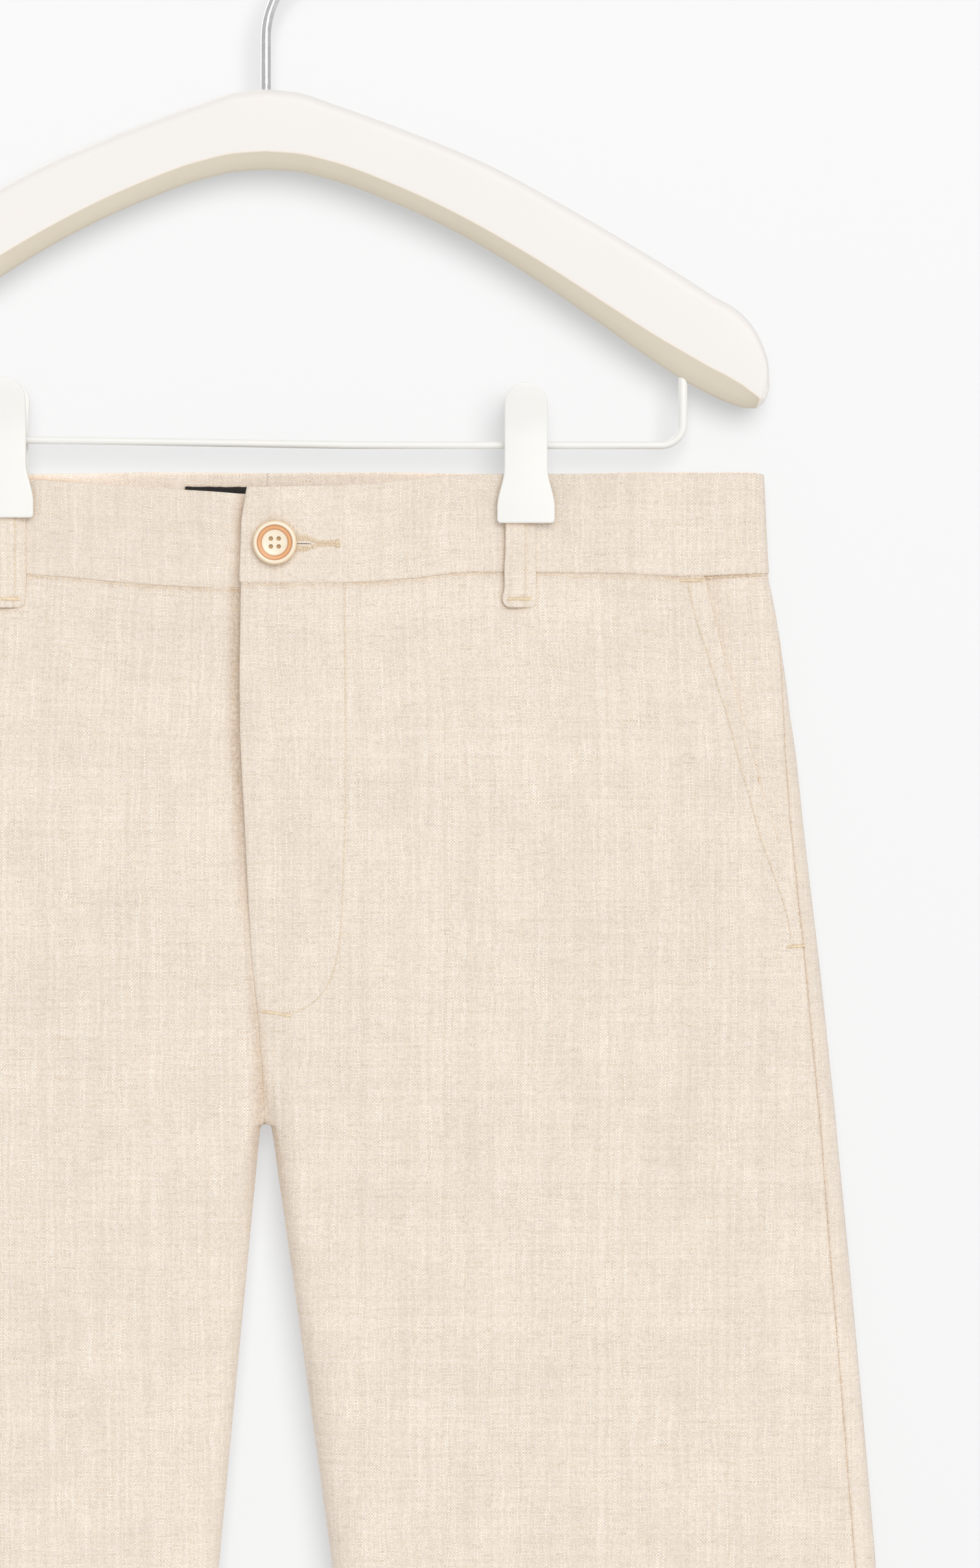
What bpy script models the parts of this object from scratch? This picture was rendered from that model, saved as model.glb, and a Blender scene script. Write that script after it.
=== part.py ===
"""Linen bermuda shorts held by the waist on a clip hanger, at real size.

Left and right are the wearer's: the wearer's left is at +X. The front faces -Y and +Z is up.
The origin is where a rod carries the hook, at the top of the hook's inner curve.

"below" counts down from the top edge of the back waist, "across" counts out from the middle of
the garment, and "out" counts away from the hanging plane Y = 0. All sizes are in millimetres:
add_object turns them into Blender's metres.
"""

from collections import namedtuple

import bmesh
import bpy
import numpy as np
from mathutils import Matrix

METRES = 0.001

# Hanging and cloth
WAIST_DROP = 240.0  # from the hook's inner top down to the top of the waist
CLOTH = 1.2  # linen with what is turned in behind it
BAND_CLOTH = 2.2  # the waistband, folded and stiffened
GAP = 0.3  # between neighbouring pieces
SLACK = 0.1  # more between layers that curve over each other
OUTSEAM = 510.0  # top of the waist to the hem
HEM_DEPTH = 35.0
HEM_EXTRA = 0.8  # the hem's turned-up cloth
SEAM_LEVEL = 41.2  # waist seam at the sides and the back

# Waist: pinched flat under each clip, bowed out between them
CLIP_ACROSS = 106.7
PINCH_HALF_WIDTH = 12.0
PINCH_OUT = BAND_CLOTH + GAP / 2
FRONT_BOW = 13.5
BACK_BOW = 12.0
SIDE_OUT = 6.3  # half the depth of the loop that the waist makes at each side
SIDE_RISE = 38.0
BOW_FADE = (24.0, 120.0)  # where the pinched waist has opened into the body
FOLD_ROUND = (6.5, 13.0)  # how far the side fold's rounding reaches in, at waist and below

# Fly and waistband end
FLY_LAP = 12.0  # right front under the left front
FLY_LAP_FADE = (186.0, 25.0)  # where the lap begins to narrow, and over what height
RECESS_RAMP = 15.0
RECESS_FADE = (212.0, 22.0)  # where the right side's set-back ends under the fly
UNDERLAP_END = -33.0  # the right waistband runs on under the left one, past the middle
SHIELD_START = -8.0
FLAP_EDGE = ((6.0, -7.2), (20.0, -9.5), (45.0, -10.3))  # below, x

# Pockets
POCKET_UNDER = 18.0  # facing under the front's edge
POCKET_END = 185.0
FACING_END = 173.0  # the facing ends above the opening's narrow low end

# One row for each level of the garment. side: half width at the side fold. seam_inset: how far
# inside that fold the side seam lies, on the front. left_inner and right_inner: x of the fly
# edge and centre seam, then of each leg's inner edge. valley: how full the middle is, 0 where
# front and back meet at the crotch. out: half the depth.
Level = namedtuple("Level", "below side seam_inset left_inner right_inner valley out")
LEVELS = (
    Level(0.0, 204.5, 0.0, -7.3, -7.3, 1.00, 10.0),
    Level(41.0, 206.6, 0.0, -9.8, -9.8, 1.00, 10.0),
    Level(61.0, 209.9, 0.0, -10.1, -10.1, 1.00, 10.5),
    Level(78.0, 212.5, 1.3, -10.4, -10.4, 1.00, 11.0),
    Level(100.0, 215.4, 3.2, -10.3, -10.3, 1.00, 11.5),
    Level(119.0, 218.0, 5.0, -9.6, -9.6, 1.00, 11.8),
    Level(150.0, 221.4, 5.9, -8.0, -8.0, 1.00, 12.0),
    Level(172.0, 223.9, 6.1, -7.0, -7.0, 0.98, 12.0),
    Level(201.0, 227.3, 6.5, -5.0, -5.0, 0.92, 12.0),
    Level(221.0, 229.4, 6.8, -2.8, -2.8, 0.84, 12.0),
    Level(242.0, 231.6, 7.0, -1.3, -1.3, 0.72, 11.8),
    Level(257.0, 233.2, 7.1, -0.6, -0.6, 0.56, 11.7),
    Level(266.5, 234.15, 7.2, -0.2, -0.2, 0.42, 11.6),
    Level(266.9, 234.2, 7.2, 1.9, -1.9, 0.41, 11.6),
    Level(269.5, 234.4, 7.2, 2.4, -2.2, 0.37, 11.6),
    Level(285.0, 235.8, 7.5, 4.6, -3.7, 0.00, 11.4),
    Level(327.0, 239.8, 8.2, 10.6, -7.7, 0.00, 10.8),
    Level(400.0, 246.3, 8.8, 20.6, -14.6, 0.00, 10.5),
    Level(510.0, 255.6, 9.5, 35.6, -24.9, 0.00, 11.2),
)
VALLEY_REACH = (46.0, 15.0)  # width of the centre valley up the seat, of the leg's inner round
VALLEY_LEVELS = (215.0, 262.0)
CROTCH = 266.5
CROTCH_ROUND = 4.0  # how far above the crotch the cloth turns under
PARTING = (250.0, 285.0)  # over these levels the middle's form widens into the gap between the legs
LEG_ROUND = (3.0, 0.05)  # of the legs' inner edges, at the crotch and where the leg is round
LEG_ROUND_LEVELS = (270.0, 284.0)

# Top edge and waist seam of the front, which sags between the clips.
Waist = namedtuple("Waist", "across top_left seam_left top_right seam_right")
WAIST = (
    Waist(-36.0, 6.0, 45.3, 9.2, 48.4),
    Waist(0.0, 5.9, 45.4, 9.0, 48.2),
    Waist(20.0, 5.5, 45.4, 7.9, 47.5),
    Waist(40.0, 4.7, 44.9, 6.5, 46.4),
    Waist(60.0, 2.5, 43.3, 5.0, 44.8),
    Waist(85.0, 0.2, 40.6, 3.0, 42.3),
    Waist(111.0, 0.0, 40.7, 1.5, 41.0),
    Waist(146.0, 0.0, 41.3, 0.4, 41.3),
    Waist(170.0, 0.0, 42.4, 0.1, 42.2),
    Waist(206.0, 0.0, 41.2, 0.0, 41.2),
)
SAG_FADE = 150.0  # below this the cloth no longer follows the sagging waist

# The edge of the slanted pocket opening, and the curved edge of the fly's shield.
PocketEdge = namedtuple("PocketEdge", "below across")
POCKET_EDGE = (
    PocketEdge(41.0, 180.0),
    PocketEdge(59.4, 184.2),
    PocketEdge(76.9, 188.4),
    PocketEdge(88.8, 192.2),
    PocketEdge(125.0, 202.0),
    PocketEdge(155.0, 211.0),
    PocketEdge(185.0, 218.6),
)
ShieldEdge = namedtuple("ShieldEdge", "below x")
SHIELD_EDGE = (
    ShieldEdge(45.0, 32.6),
    ShieldEdge(157.0, 32.5),
    ShieldEdge(181.0, 31.0),
    ShieldEdge(195.0, 28.0),
    ShieldEdge(206.0, 22.0),
    ShieldEdge(212.0, 12.0),
)

# The largest folds, as soft troughs (sunk > 0) and ridges (sunk < 0) along a line.
Fold = namedtuple("Fold", "face x_top below_top x_end below_end reach sunk")
FOLDS = (
    Fold("front", -22.0, 62.0, -16.0, 230.0, 11.0, 1.0),
    Fold("front", -17.0, 262.0, -22.0, 500.0, 12.0, 2.2),
    Fold("front", -62.0, 190.0, -70.0, 470.0, 22.0, -1.2),
    Fold("front", 26.0, 250.0, 44.0, 400.0, 16.0, 1.4),
    Fold("front", 106.0, 60.0, 112.0, 240.0, 20.0, 1.0),
    Fold("front", -106.0, 60.0, -110.0, 260.0, 20.0, 1.2),
    Fold("back", 104.0, 60.0, 118.0, 300.0, 20.0, 1.4),
    Fold("back", -106.0, 60.0, -124.0, 280.0, 22.0, 1.2),
    Fold("back", 30.0, 240.0, 74.0, 420.0, 18.0, 1.8),
    Fold("back", -26.0, 245.0, -66.0, 440.0, 20.0, 1.6),
)

# Belt loops, by the x of their middle
LOOP_WIDTH = 12.9
LOOP_CLOTH = 1.4
LOOP_TOP = 1.5
LOOP_END = 55.0
LOOP_STAND = 1.0  # how far a free loop stands off in its middle
FRONT_LOOP_X = 104.5
BACK_LOOP_X = 142.0

# Label inside the back waistband, and button
LABEL_HALF_WIDTH = 33.5
LABEL_TOP = 6.0
LABEL_HEIGHT = 28.0
LABEL_CLOTH = 0.7
BUTTON_X = 4.4
BUTTON_BELOW = 28.9
BUTTON_RADIUS = 9.0
BUTTON_THICK = 3.2
BUTTON_HOLE_RADIUS = 0.95
BUTTON_HOLE_OFFSET = 1.75
# Its turned profile, as parts of the radius and the thickness: the face from the middle to the
# rim, then the back.
BUTTON_PROFILE = (
    (0.0, 0.55),
    (0.46, 0.55),
    (0.52, 0.72),
    (0.70, 0.72),
    (0.76, 0.94),
    (0.86, 1.00),
    (0.96, 0.86),
    (1.00, 0.55),
    (0.96, 0.22),
    (0.70, 0.00),
    (0.0, 0.0),
)

# Hanger. Each row is a station along the left arm, "up" counts from the top of the waist.
Station = namedtuple("Station", "top_x top_up low_x low_up low_bevel")
ARM = (
    Station(0.0, 158.0, 0.0, 125.0, 7.0),
    Station(12.0, 156.8, 12.0, 124.2, 7.0),
    Station(30.0, 151.0, 28.0, 120.5, 7.0),
    Station(60.0, 140.0, 58.0, 109.0, 7.0),
    Station(90.0, 127.5, 86.0, 95.0, 7.0),
    Station(120.0, 111.5, 112.0, 79.0, 7.4),
    Station(150.0, 94.0, 140.7, 59.3, 8.4),
    Station(170.0, 81.8, 158.0, 47.2, 9.2),
    Station(184.4, 72.6, 173.0, 37.6, 10.0),
    Station(192.4, 68.1, 184.0, 31.8, 10.0),
    Station(199.5, 61.0, 192.0, 28.4, 9.0),
    Station(203.5, 53.8, 196.6, 27.2, 7.0),
    Station(206.2, 45.0, 200.4, 27.0, 4.5),
    Station(206.6, 36.6, 203.6, 28.6, 2.0),
)
ARM_OUT = 6.5  # half the arm's thickness
ARM_TOP_BEVEL = 2.8
ARM_EDGE_OUT = 1.6
ARM_LOW_EDGE = (0.35, 0.62)  # a corner of the low bevel: part of its height, of the thickness
ARM_THINNING = (0.45, 30.0)  # a low part of the arm is thinner: its least part, span that adds 1

HOOK_INNER = 18.0
HOOK_ROD = 2.0
HOOK_TIP_ANGLE = 215.0  # degrees from +X, where the hook's tip ends
HOOK_LEAVE_ANGLE = -50.0  # where the hook leaves its round for the stem
HOOK_SOCKET = 14.0  # depth of the hole in the hanger's neck
HOOK_SOCKET_SPARE = 1.0

BAR_ROD = 1.6
BAR_END_X = 171.2
BAR_CORNER = 9.0
BAR_SOCKET_TOP = 50.0
BAR_SOCKET_LENGTH = 60.0
BAR_SOCKET_SPARE = 1.5
BAR_STRAIGHT = 6.0  # its upright ends over the corners
BAR_RUN = 150.0
BAR_UP = ((-BAR_END_X, 14.6), (-77.0, 13.8), (35.0, 11.9), (BAR_END_X, 11.8))  # x, up

# Clips: a front and a back jaw of one outline, on a sleeve that slides along the bar
JAW_THICK = 2.0
JAW_TOP = 36.8
JAW_END = -20.4
JAW_TOP_HALF = 8.8
JAW_END_HALF = 11.8
JAW_FLARE = (2.5, -14.0)
JAW_CORNER = 1.6
JAW_EDGE = 0.5  # its outer edges' bevel
JAW_ON_SLEEVE = (9.0, 15.0)  # it lies on the sleeve between these heights
LEVER_OUT = 9.5
LEVER_RISE = 25.8
SLEEVE_SLACK = 0.05
SLEEVE_RADIUS = 4.0
SLEEVE_HALF = 6.5

# Mesh density
BODY_ROWS = (45, 54, 66, 80, 98, 120, 145, 170, 192, 212, 228, 242, 254, 262.5, 265, 266, CROTCH)
LEG_ROWS = (266.9, 269.5, 276, 285, 310, 350, 400, 445, 474, 476.5, OUTSEAM)
FRONT_COLUMNS = 14
BACK_COLUMNS = 19
BAND_COLUMNS = 40
BAND_ROWS = 5
FACING_COLUMNS = 8
SHIELD_COLUMNS = 6
LOOP_ROWS = 9
LOOP_COLUMNS = 4
LABEL_ROWS = 4
LABEL_COLUMNS = 13
BUTTON_SEGMENTS = 32
SLEEVE_SEGMENTS = 16
CUTTER_SIDES = 16
HOOK_STOPS = 26
STEM_STOPS = 8
BAR_CORNER_STOPS = 7
BAR_RUN_STOPS = 13
JAW_LOW_PARTS = (0.12, 0.19, 0.27, 0.36, 0.42, 0.48, 0.54, 0.62)  # of its whole height
JAW_TOP_PARTS = (1.6, 1.0, 0.7, 0.45, 0.25, 0.1, 0.02)  # of its rounded top
INNER_STEPS = (2.0, 5.0, 9.0, 14.0, 20.0)  # columns by the inner edge
BACK_BUNCH = 0.75  # how much the back's columns bunch at both ends
FRONT_BUNCH = 0.7  # how much the front's columns bunch at the outer end
RING_SAMPLES = 241

LINEN = ("linen", (0.855, 0.753, 0.651), 0.9, 0.0)
LABEL_BLACK = ("label_black", (0.02, 0.017, 0.015), 0.85, 0.0)
BUTTON_CREAM = ("button_cream", (0.86, 0.66, 0.42), 0.35, 0.0)
HANGER_WHITE = ("hanger_white", (0.91, 0.88, 0.85), 0.45, 0.0)
METAL_WHITE = ("metal_white", (0.93, 0.93, 0.89), 0.35, 0.0)
METAL_BRIGHT = ("metal_bright", (0.72, 0.72, 0.72), 0.25, 1.0)


# ---- Shared helpers ----


def clear_scene():
    for obj in list(bpy.data.objects):
        bpy.data.objects.remove(obj, do_unlink=True)


def material(colour_set):
    name, colour, roughness, metallic = colour_set
    found = bpy.data.materials.get(name)
    if found:
        return found
    made = bpy.data.materials.new(name)
    made.use_nodes = True
    shader = made.node_tree.nodes["Principled BSDF"]
    shader.inputs["Base Color"].default_value = (*colour, 1.0)
    shader.inputs["Roughness"].default_value = roughness
    shader.inputs["Metallic"].default_value = metallic
    return made


def add_object(name, points, faces, colour_set):
    """A mesh object from points in millimetres, its faces turned outwards."""
    mesh = bpy.data.meshes.new(name)
    mesh.from_pydata([tuple(float(v) * METRES for v in p) for p in points], [], faces)
    shell = bmesh.new()
    shell.from_mesh(mesh)
    bmesh.ops.recalc_face_normals(shell, faces=shell.faces)
    shell.to_mesh(mesh)
    shell.free()
    mesh.shade_smooth()
    mesh.set_sharp_from_angle(angle=np.radians(40))
    mesh.materials.append(material(colour_set))
    obj = bpy.data.objects.new(name, mesh)
    bpy.context.scene.collection.objects.link(obj)
    return obj


def ease(value):
    """0 to 1 with level ends."""
    value = np.clip(value, 0.0, 1.0)
    return value * value * (3.0 - 2.0 * value)


def follow(table, argument, column, at):
    """A smooth curve through one column of a table, with no overshoot between its rows."""
    xs = np.array([getattr(row, argument) for row in table], float)
    ys = np.array([getattr(row, column) for row in table], float)
    at = np.clip(np.asarray(at, float), xs[0], xs[-1])
    slopes = np.diff(ys) / np.diff(xs)
    tangents = np.zeros(len(xs))
    before, after = slopes[:-1], slopes[1:]
    same_way = before * after > 0
    total = np.where(same_way, before + after, 1.0)
    tangents[1:-1] = np.where(same_way, 2 * before * after / total, 0.0)
    tangents[0], tangents[-1] = slopes[0], slopes[-1]
    index = np.clip(np.searchsorted(xs, at) - 1, 0, len(xs) - 2)
    width = xs[index + 1] - xs[index]
    t = (at - xs[index]) / width
    return (
        ys[index] * (1 + 2 * t) * (1 - t) ** 2
        + ys[index + 1] * (3 - 2 * t) * t**2
        + width * t * (1 - t) * (tangents[index] * (1 - t) - tangents[index + 1] * t)
    )


def level(column, below):
    return follow(LEVELS, "below", column, below)


def grid_faces(rows, columns, first=0, flip=False):
    faces = []
    for row in range(rows - 1):
        for column in range(columns - 1):
            corner = first + row * columns + column
            quad = (corner, corner + 1, corner + columns + 1, corner + columns)
            faces.append(quad[::-1] if flip else quad)
    return faces


def add_wall(name, outer, inner, colour_set):
    """A closed wall between two faces, each a rows x columns grid of points."""
    rows, columns = outer.shape[:2]
    points = np.concatenate([outer.reshape(-1, 3), inner.reshape(-1, 3)])
    second = rows * columns
    faces = grid_faces(rows, columns) + grid_faces(rows, columns, second, flip=True)
    rim = list(range(columns))
    rim += [r * columns + columns - 1 for r in range(1, rows)]
    rim += [(rows - 1) * columns + c for c in range(columns - 2, -1, -1)]
    rim += [r * columns for r in range(rows - 2, 0, -1)]
    for here, there in zip(rim, rim[1:] + rim[:1]):
        faces.append((there, here, here + second, there + second))
    return add_object(name, points, faces, colour_set)


def add_loft(name, sections, colour_set):
    """A closed solid through sections of equal point counts, with flat ends."""
    count = len(sections[0])
    points = [p for section in sections for p in section]
    faces = [tuple(range(count))[::-1]]
    for s in range(len(sections) - 1):
        for k in range(count):
            a = s * count + k
            b = s * count + (k + 1) % count
            faces.append((a, b, b + count, a + count))
    last = (len(sections) - 1) * count
    faces.append(tuple(range(last, last + count)))
    return add_object(name, points, faces, colour_set)


def add_rod(name, route, radius, colour_set, sides=2):
    """A round rod along a route of points, with closed ends."""
    curve = bpy.data.curves.new(name, "CURVE")
    curve.dimensions = "3D"
    curve.bevel_depth = radius * METRES
    curve.bevel_resolution = sides
    curve.use_fill_caps = True
    spline = curve.splines.new("POLY")
    spline.points.add(len(route) - 1)
    for point, place in zip(spline.points, route):
        point.co = (*(float(v) * METRES for v in place), 1.0)
    curve.materials.append(material(colour_set))
    obj = bpy.data.objects.new(name, curve)
    bpy.context.scene.collection.objects.link(obj)
    return obj


def cut_with(target, cutter):
    cutter.hide_render = True
    cutter.display_type = "WIRE"
    cut = target.modifiers.new("cut_" + cutter.name, "BOOLEAN")
    cut.operation = "DIFFERENCE"
    cut.object = cutter


def add_round_cutter(name, radius, length, place, turn):
    bpy.ops.mesh.primitive_cylinder_add(
        vertices=CUTTER_SIDES,
        radius=radius * METRES,
        depth=length * METRES,
        location=[v * METRES for v in place],
    )
    cutter = bpy.context.active_object
    cutter.name = name
    cutter.matrix_world = cutter.matrix_world @ turn
    return cutter


# ---- The garment's surface ----


def waist_out(across, bow):
    """How far the waist stands out from the hanging plane, at a distance across from the middle."""
    across = np.abs(across)
    pinch_start = CLIP_ACROSS - PINCH_HALF_WIDTH
    pinch_end = CLIP_ACROSS + PINCH_HALF_WIDTH
    middle = (bow - PINCH_OUT) * np.cos(np.pi / 2 * np.clip(across / pinch_start, 0, 1)) ** 2
    side = (SIDE_OUT - PINCH_OUT) * ease((across - pinch_end) / SIDE_RISE)
    return PINCH_OUT + middle + side


def fold_depth(x, below, face):
    """How far the folds of one face sink its cloth."""
    sunk = np.zeros(np.broadcast(x, below).shape)
    for fold in FOLDS:
        if fold.face != face:
            continue
        t = (below - fold.below_top) / (fold.below_end - fold.below_top)
        middle = fold.x_top + (fold.x_end - fold.x_top) * t
        strength = np.where((t > 0) & (t < 1), np.sin(np.pi * np.clip(t, 0, 1)) ** 0.7, 0.0)
        sunk = sunk + fold.sunk * strength * np.exp(-(((x - middle) / fold.reach) ** 2))
    return sunk


def surface_out(side, across, below, face):
    """Distance of the cloth's outer face from the hanging plane, on one side of the garment.

    side is +1 for the wearer's left and -1 for the right, and across = side * x.
    """
    edge = level("side", below)
    column = "left_inner" if side > 0 else "right_inner"
    inner = side * level(column, below) + GAP / 2
    parting = np.interp(below, PARTING, level(column, np.array(PARTING)))
    inside = (np.asarray(below) > PARTING[0]) & (np.asarray(below) < PARTING[1])
    middle = np.where(inside, side * parting + GAP / 2, inner)
    valley = level("valley", below)
    pinched = 1.0 - ease((below - BOW_FADE[0]) / (BOW_FADE[1] - BOW_FADE[0]))
    bow = FRONT_BOW if face == "front" else BACK_BOW
    out = pinched * waist_out(across, bow) + (1.0 - pinched) * level("out", below)
    round_reach = pinched * FOLD_ROUND[0] + (1.0 - pinched) * FOLD_ROUND[1]
    to_edge = np.clip((edge - across) / round_reach, 0.0, 1.0)
    out = out * np.sqrt(1.0 - (1.0 - to_edge) ** 2)
    leg = ease((below - VALLEY_LEVELS[0]) / (VALLEY_LEVELS[1] - VALLEY_LEVELS[0]))
    reach = VALLEY_REACH[0] * (1.0 - leg) + VALLEY_REACH[1] * leg
    to_inner = np.clip((across - middle) / reach, 0.0, 1.0)
    out = out * np.sqrt(valley**2 + (1.0 - valley**2) * (1.0 - (1.0 - to_inner) ** 2))
    turned = np.clip((below - CROTCH + CROTCH_ROUND) / CROTCH_ROUND, 0.0, 1.0)
    as_leg = ease((below - LEG_ROUND_LEVELS[0]) / (LEG_ROUND_LEVELS[1] - LEG_ROUND_LEVELS[0]))
    round_off = LEG_ROUND[0] * (1.0 - as_leg) + LEG_ROUND[1] * as_leg
    to_end = np.clip((across - inner) / round_off, 0.0, 1.0)
    end_round = np.sqrt(1.0 - (1.0 - to_end) ** 2)
    out = out * (end_round + (1.0 - end_round) * np.sqrt(1.0 - turned**2))
    flat_zone = np.minimum(to_edge, np.maximum(to_inner, valley))
    return out - fold_depth(side * across, below, face) * ease(flat_zone)


def fly_recess(across, below, step):
    """How far the right side of the fly is set back, so that the left side can lie over it."""
    edge = -level("right_inner", below)
    along = 1.0 - ease((below - RECESS_FADE[0]) / RECESS_FADE[1])
    return step * along * (1.0 - ease((across - edge - 1.0) / RECESS_RAMP))


def front_sag(side, across, below):
    """How far the front hangs lower than the back at the same level."""
    column = "seam_left" if side > 0 else "seam_right"
    seam = follow(WAIST, "across", column, across)
    return (seam - SEAM_LEVEL) * (1.0 - ease((below - SEAM_LEVEL) / (SAG_FADE - SEAM_LEVEL)))


def inner_edge(side, below):
    """Distance across of the fly edge, the centre seam or the leg's inner edge."""
    return side * float(level("left_inner" if side > 0 else "right_inner", below)) + GAP / 2


def side_seam(below):
    return float(level("side", below) - level("seam_inset", below))


def front_edge(below):
    """Outer edge of the front panel: the pocket opening, then the side seam."""
    seam = side_seam(below)
    if below >= POCKET_END:
        return seam
    return min(float(follow(POCKET_EDGE, "below", "across", below)), seam)


# A closed half of the garment at one level, from the front's inner edge round the side fold and
# over the back: places across and y, the length along it, and the direction into the cloth.
Ring = namedtuple("Ring", "across y length inward_across inward_y")


def ring(side, below, start, set_back=None):
    """The ring from across = start. set_back gives how far a piece lies behind the surface."""
    edge = float(level("side", below))
    inner = inner_edge(side, below)
    steps = (1.0 - np.cos(np.pi * np.linspace(0.0, 1.0, RING_SAMPLES))) / 2.0
    front = start + (edge - start) * steps
    # Past the middle a piece follows the other side's surface.
    beyond = front < min(inner, 0.0) if side > 0 else front < inner
    out = np.where(
        beyond,
        surface_out(-side, -front, below, "front"),
        surface_out(side, front, below, "front"),
    )
    if set_back is not None:
        out = out - set_back(front, below)
    # Up the seat a back ends in the middle, and lower down at the leg's inner edge.
    down = float(ease((below - VALLEY_LEVELS[0]) / (CROTCH - VALLEY_LEVELS[0])))
    end = inner * down + GAP / 2 * (1.0 - down)
    back = (end + (edge - end) * steps)[::-1][1:]
    back_out = surface_out(side, back, below, "back")
    across = np.concatenate([front, back])
    y = np.concatenate([-out, back_out])
    length = np.concatenate([[0.0], np.cumsum(np.hypot(np.diff(across), np.diff(y)))])
    along = np.gradient(across, length)
    through = np.gradient(y, length)
    size = np.hypot(along, through)
    return Ring(across, y, length, -through / size, along / size)


def length_at(line, across):
    """Length along a ring's front at a distance across."""
    front = slice(0, RING_SAMPLES)
    return float(np.interp(across, line.across[front], line.length[front]))


def spread(begin, end, count, bunch):
    """Lengths from begin to end that lie closer together towards both ends."""
    even = np.linspace(0.0, 1.0, count)
    return begin + (end - begin) * ((1.0 - bunch) * even + bunch * (1.0 - np.cos(np.pi * even)) / 2)


def inner_stops(line, begin, edge, end, count):
    """Lengths that start with close steps from the inner edge, and bunch again at the end."""
    close = [begin] + [length_at(line, edge + step) for step in INNER_STEPS]
    even = np.linspace(0.0, 1.0, count - len(INNER_STEPS))[1:]
    rest = (1.0 - FRONT_BUNCH) * even + FRONT_BUNCH * np.sin(np.pi / 2 * even)
    return np.array(close + list(close[-1] + (end - close[-1]) * rest))


def wall_row(side, line, at, thickness, depth_of):
    """One row of a wall's outer and inner points, at lengths along a ring.

    depth_of(across, y) gives how far below the waist's top each point of the row hangs.
    """
    across, y, inward_across, inward_y = (
        np.interp(at, line.length, values)
        for values in (line.across, line.y, line.inward_across, line.inward_y)
    )
    size = np.hypot(inward_across, inward_y)
    z = -WAIST_DROP - depth_of(across, y)
    outer = np.stack([side * across, y, z], axis=-1)
    step = np.stack([side * inward_across / size, inward_y / size, np.zeros(len(at))], axis=-1)
    return outer, outer + thickness * step


def panel_depth(side, below):
    """depth_of for a body panel: the front sags with the waist, and the back hangs level."""

    def depth_of(across, y):
        return below + GAP + np.where(y < 0, front_sag(side, across, below), 0.0)

    return depth_of


def seam_gap(below):
    """Half the gap between front and back where they meet at the crotch and down the legs."""
    return GAP / 2 * (1.0 - float(level("valley", below)))


def cloth_at(below):
    return CLOTH + (HEM_EXTRA if below > OUTSEAM - HEM_DEPTH else 0.0)


def body_rows(until=OUTSEAM):
    rows = (SEAM_LEVEL,) + BODY_ROWS + LEG_ROWS
    return [below for below in rows if below <= until]


def add_wall_rows(name, rows, colour_set):
    outer, inner = zip(*rows)
    return add_wall(name, np.array(outer), np.array(inner), colour_set)


def hand(side):
    return "left" if side > 0 else "right"


# ---- Cloth pieces ----


def right_fly_set_back(across, below):
    return fly_recess(across, below, CLOTH + GAP + SLACK)


def add_front(side):
    """A front: from the fly or centre seam to the pocket opening and the side seam."""
    rows = []
    for below in body_rows():
        start = inner_edge(side, below)
        set_back = None
        if side < 0:
            start -= FLY_LAP * float(1.0 - ease((below - FLY_LAP_FADE[0]) / FLY_LAP_FADE[1]))
            set_back = right_fly_set_back
        line = ring(side, below, start, set_back)
        end = length_at(line, front_edge(below)) - GAP / 2
        at = inner_stops(line, seam_gap(below), inner_edge(side, below), end, FRONT_COLUMNS)
        rows.append(wall_row(side, line, at, cloth_at(below), panel_depth(side, below)))
    add_wall_rows("front_" + hand(side), rows, LINEN)


def add_back(side):
    """A back: from the side seam, round the side fold, to the centre seam and the inseam."""
    rows = []
    for below in body_rows():
        line = ring(side, below, inner_edge(side, below))
        begin = length_at(line, side_seam(below)) + GAP / 2
        at = spread(begin, line.length[-1] - seam_gap(below), BACK_COLUMNS, BACK_BUNCH)
        rows.append(wall_row(side, line, at, cloth_at(below), panel_depth(side, below)))
    add_wall_rows("back_" + hand(side), rows, LINEN)


def add_pocket_facing(side):
    """The cloth that shows in the slanted pocket opening, from under the front to the seam."""
    rows = []
    for below in body_rows(until=FACING_END):
        seam = side_seam(below)
        edge = front_edge(below)

        def facing_set_back(across, _below, seam=seam, shown=max(seam - edge, 1.0)):
            return (CLOTH + GAP + SLACK) * ease((seam - across) / shown)

        line = ring(side, below, edge - POCKET_UNDER, facing_set_back)
        at = np.linspace(0.0, length_at(line, seam) - GAP / 2, FACING_COLUMNS)
        rows.append(wall_row(side, line, at, CLOTH, panel_depth(side, below)))
    add_wall_rows("pocket_facing_" + hand(side), rows, LINEN)


def add_fly_shield():
    """The strip behind the fly, sewn to the right front."""
    behind = np.array([0.0, CLOTH, 0.0])
    outer = []
    for below in body_rows(until=SHIELD_EDGE[-1].below):
        end = float(follow(SHIELD_EDGE, "below", "x", below))
        x = np.linspace(SHIELD_START, end, SHIELD_COLUMNS)
        out = surface_out(1, x, below, "front") - 2 * (CLOTH + GAP + SLACK)
        z = -WAIST_DROP - below - GAP - front_sag(-1, -x, below)
        outer.append(np.stack([x, -out, z], axis=-1))
    outer = np.array(outer)
    add_wall("fly_shield", outer, outer + behind, LINEN)


def flap_edge(below):
    belows, xs = zip(*FLAP_EDGE)
    return float(np.interp(below, belows, xs))


def band_set_back(across, below):
    edge = -flap_edge(below)
    return (BAND_CLOTH + GAP + SLACK) * (1.0 - ease((across - edge - 1.0) / RECESS_RAMP))


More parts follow.
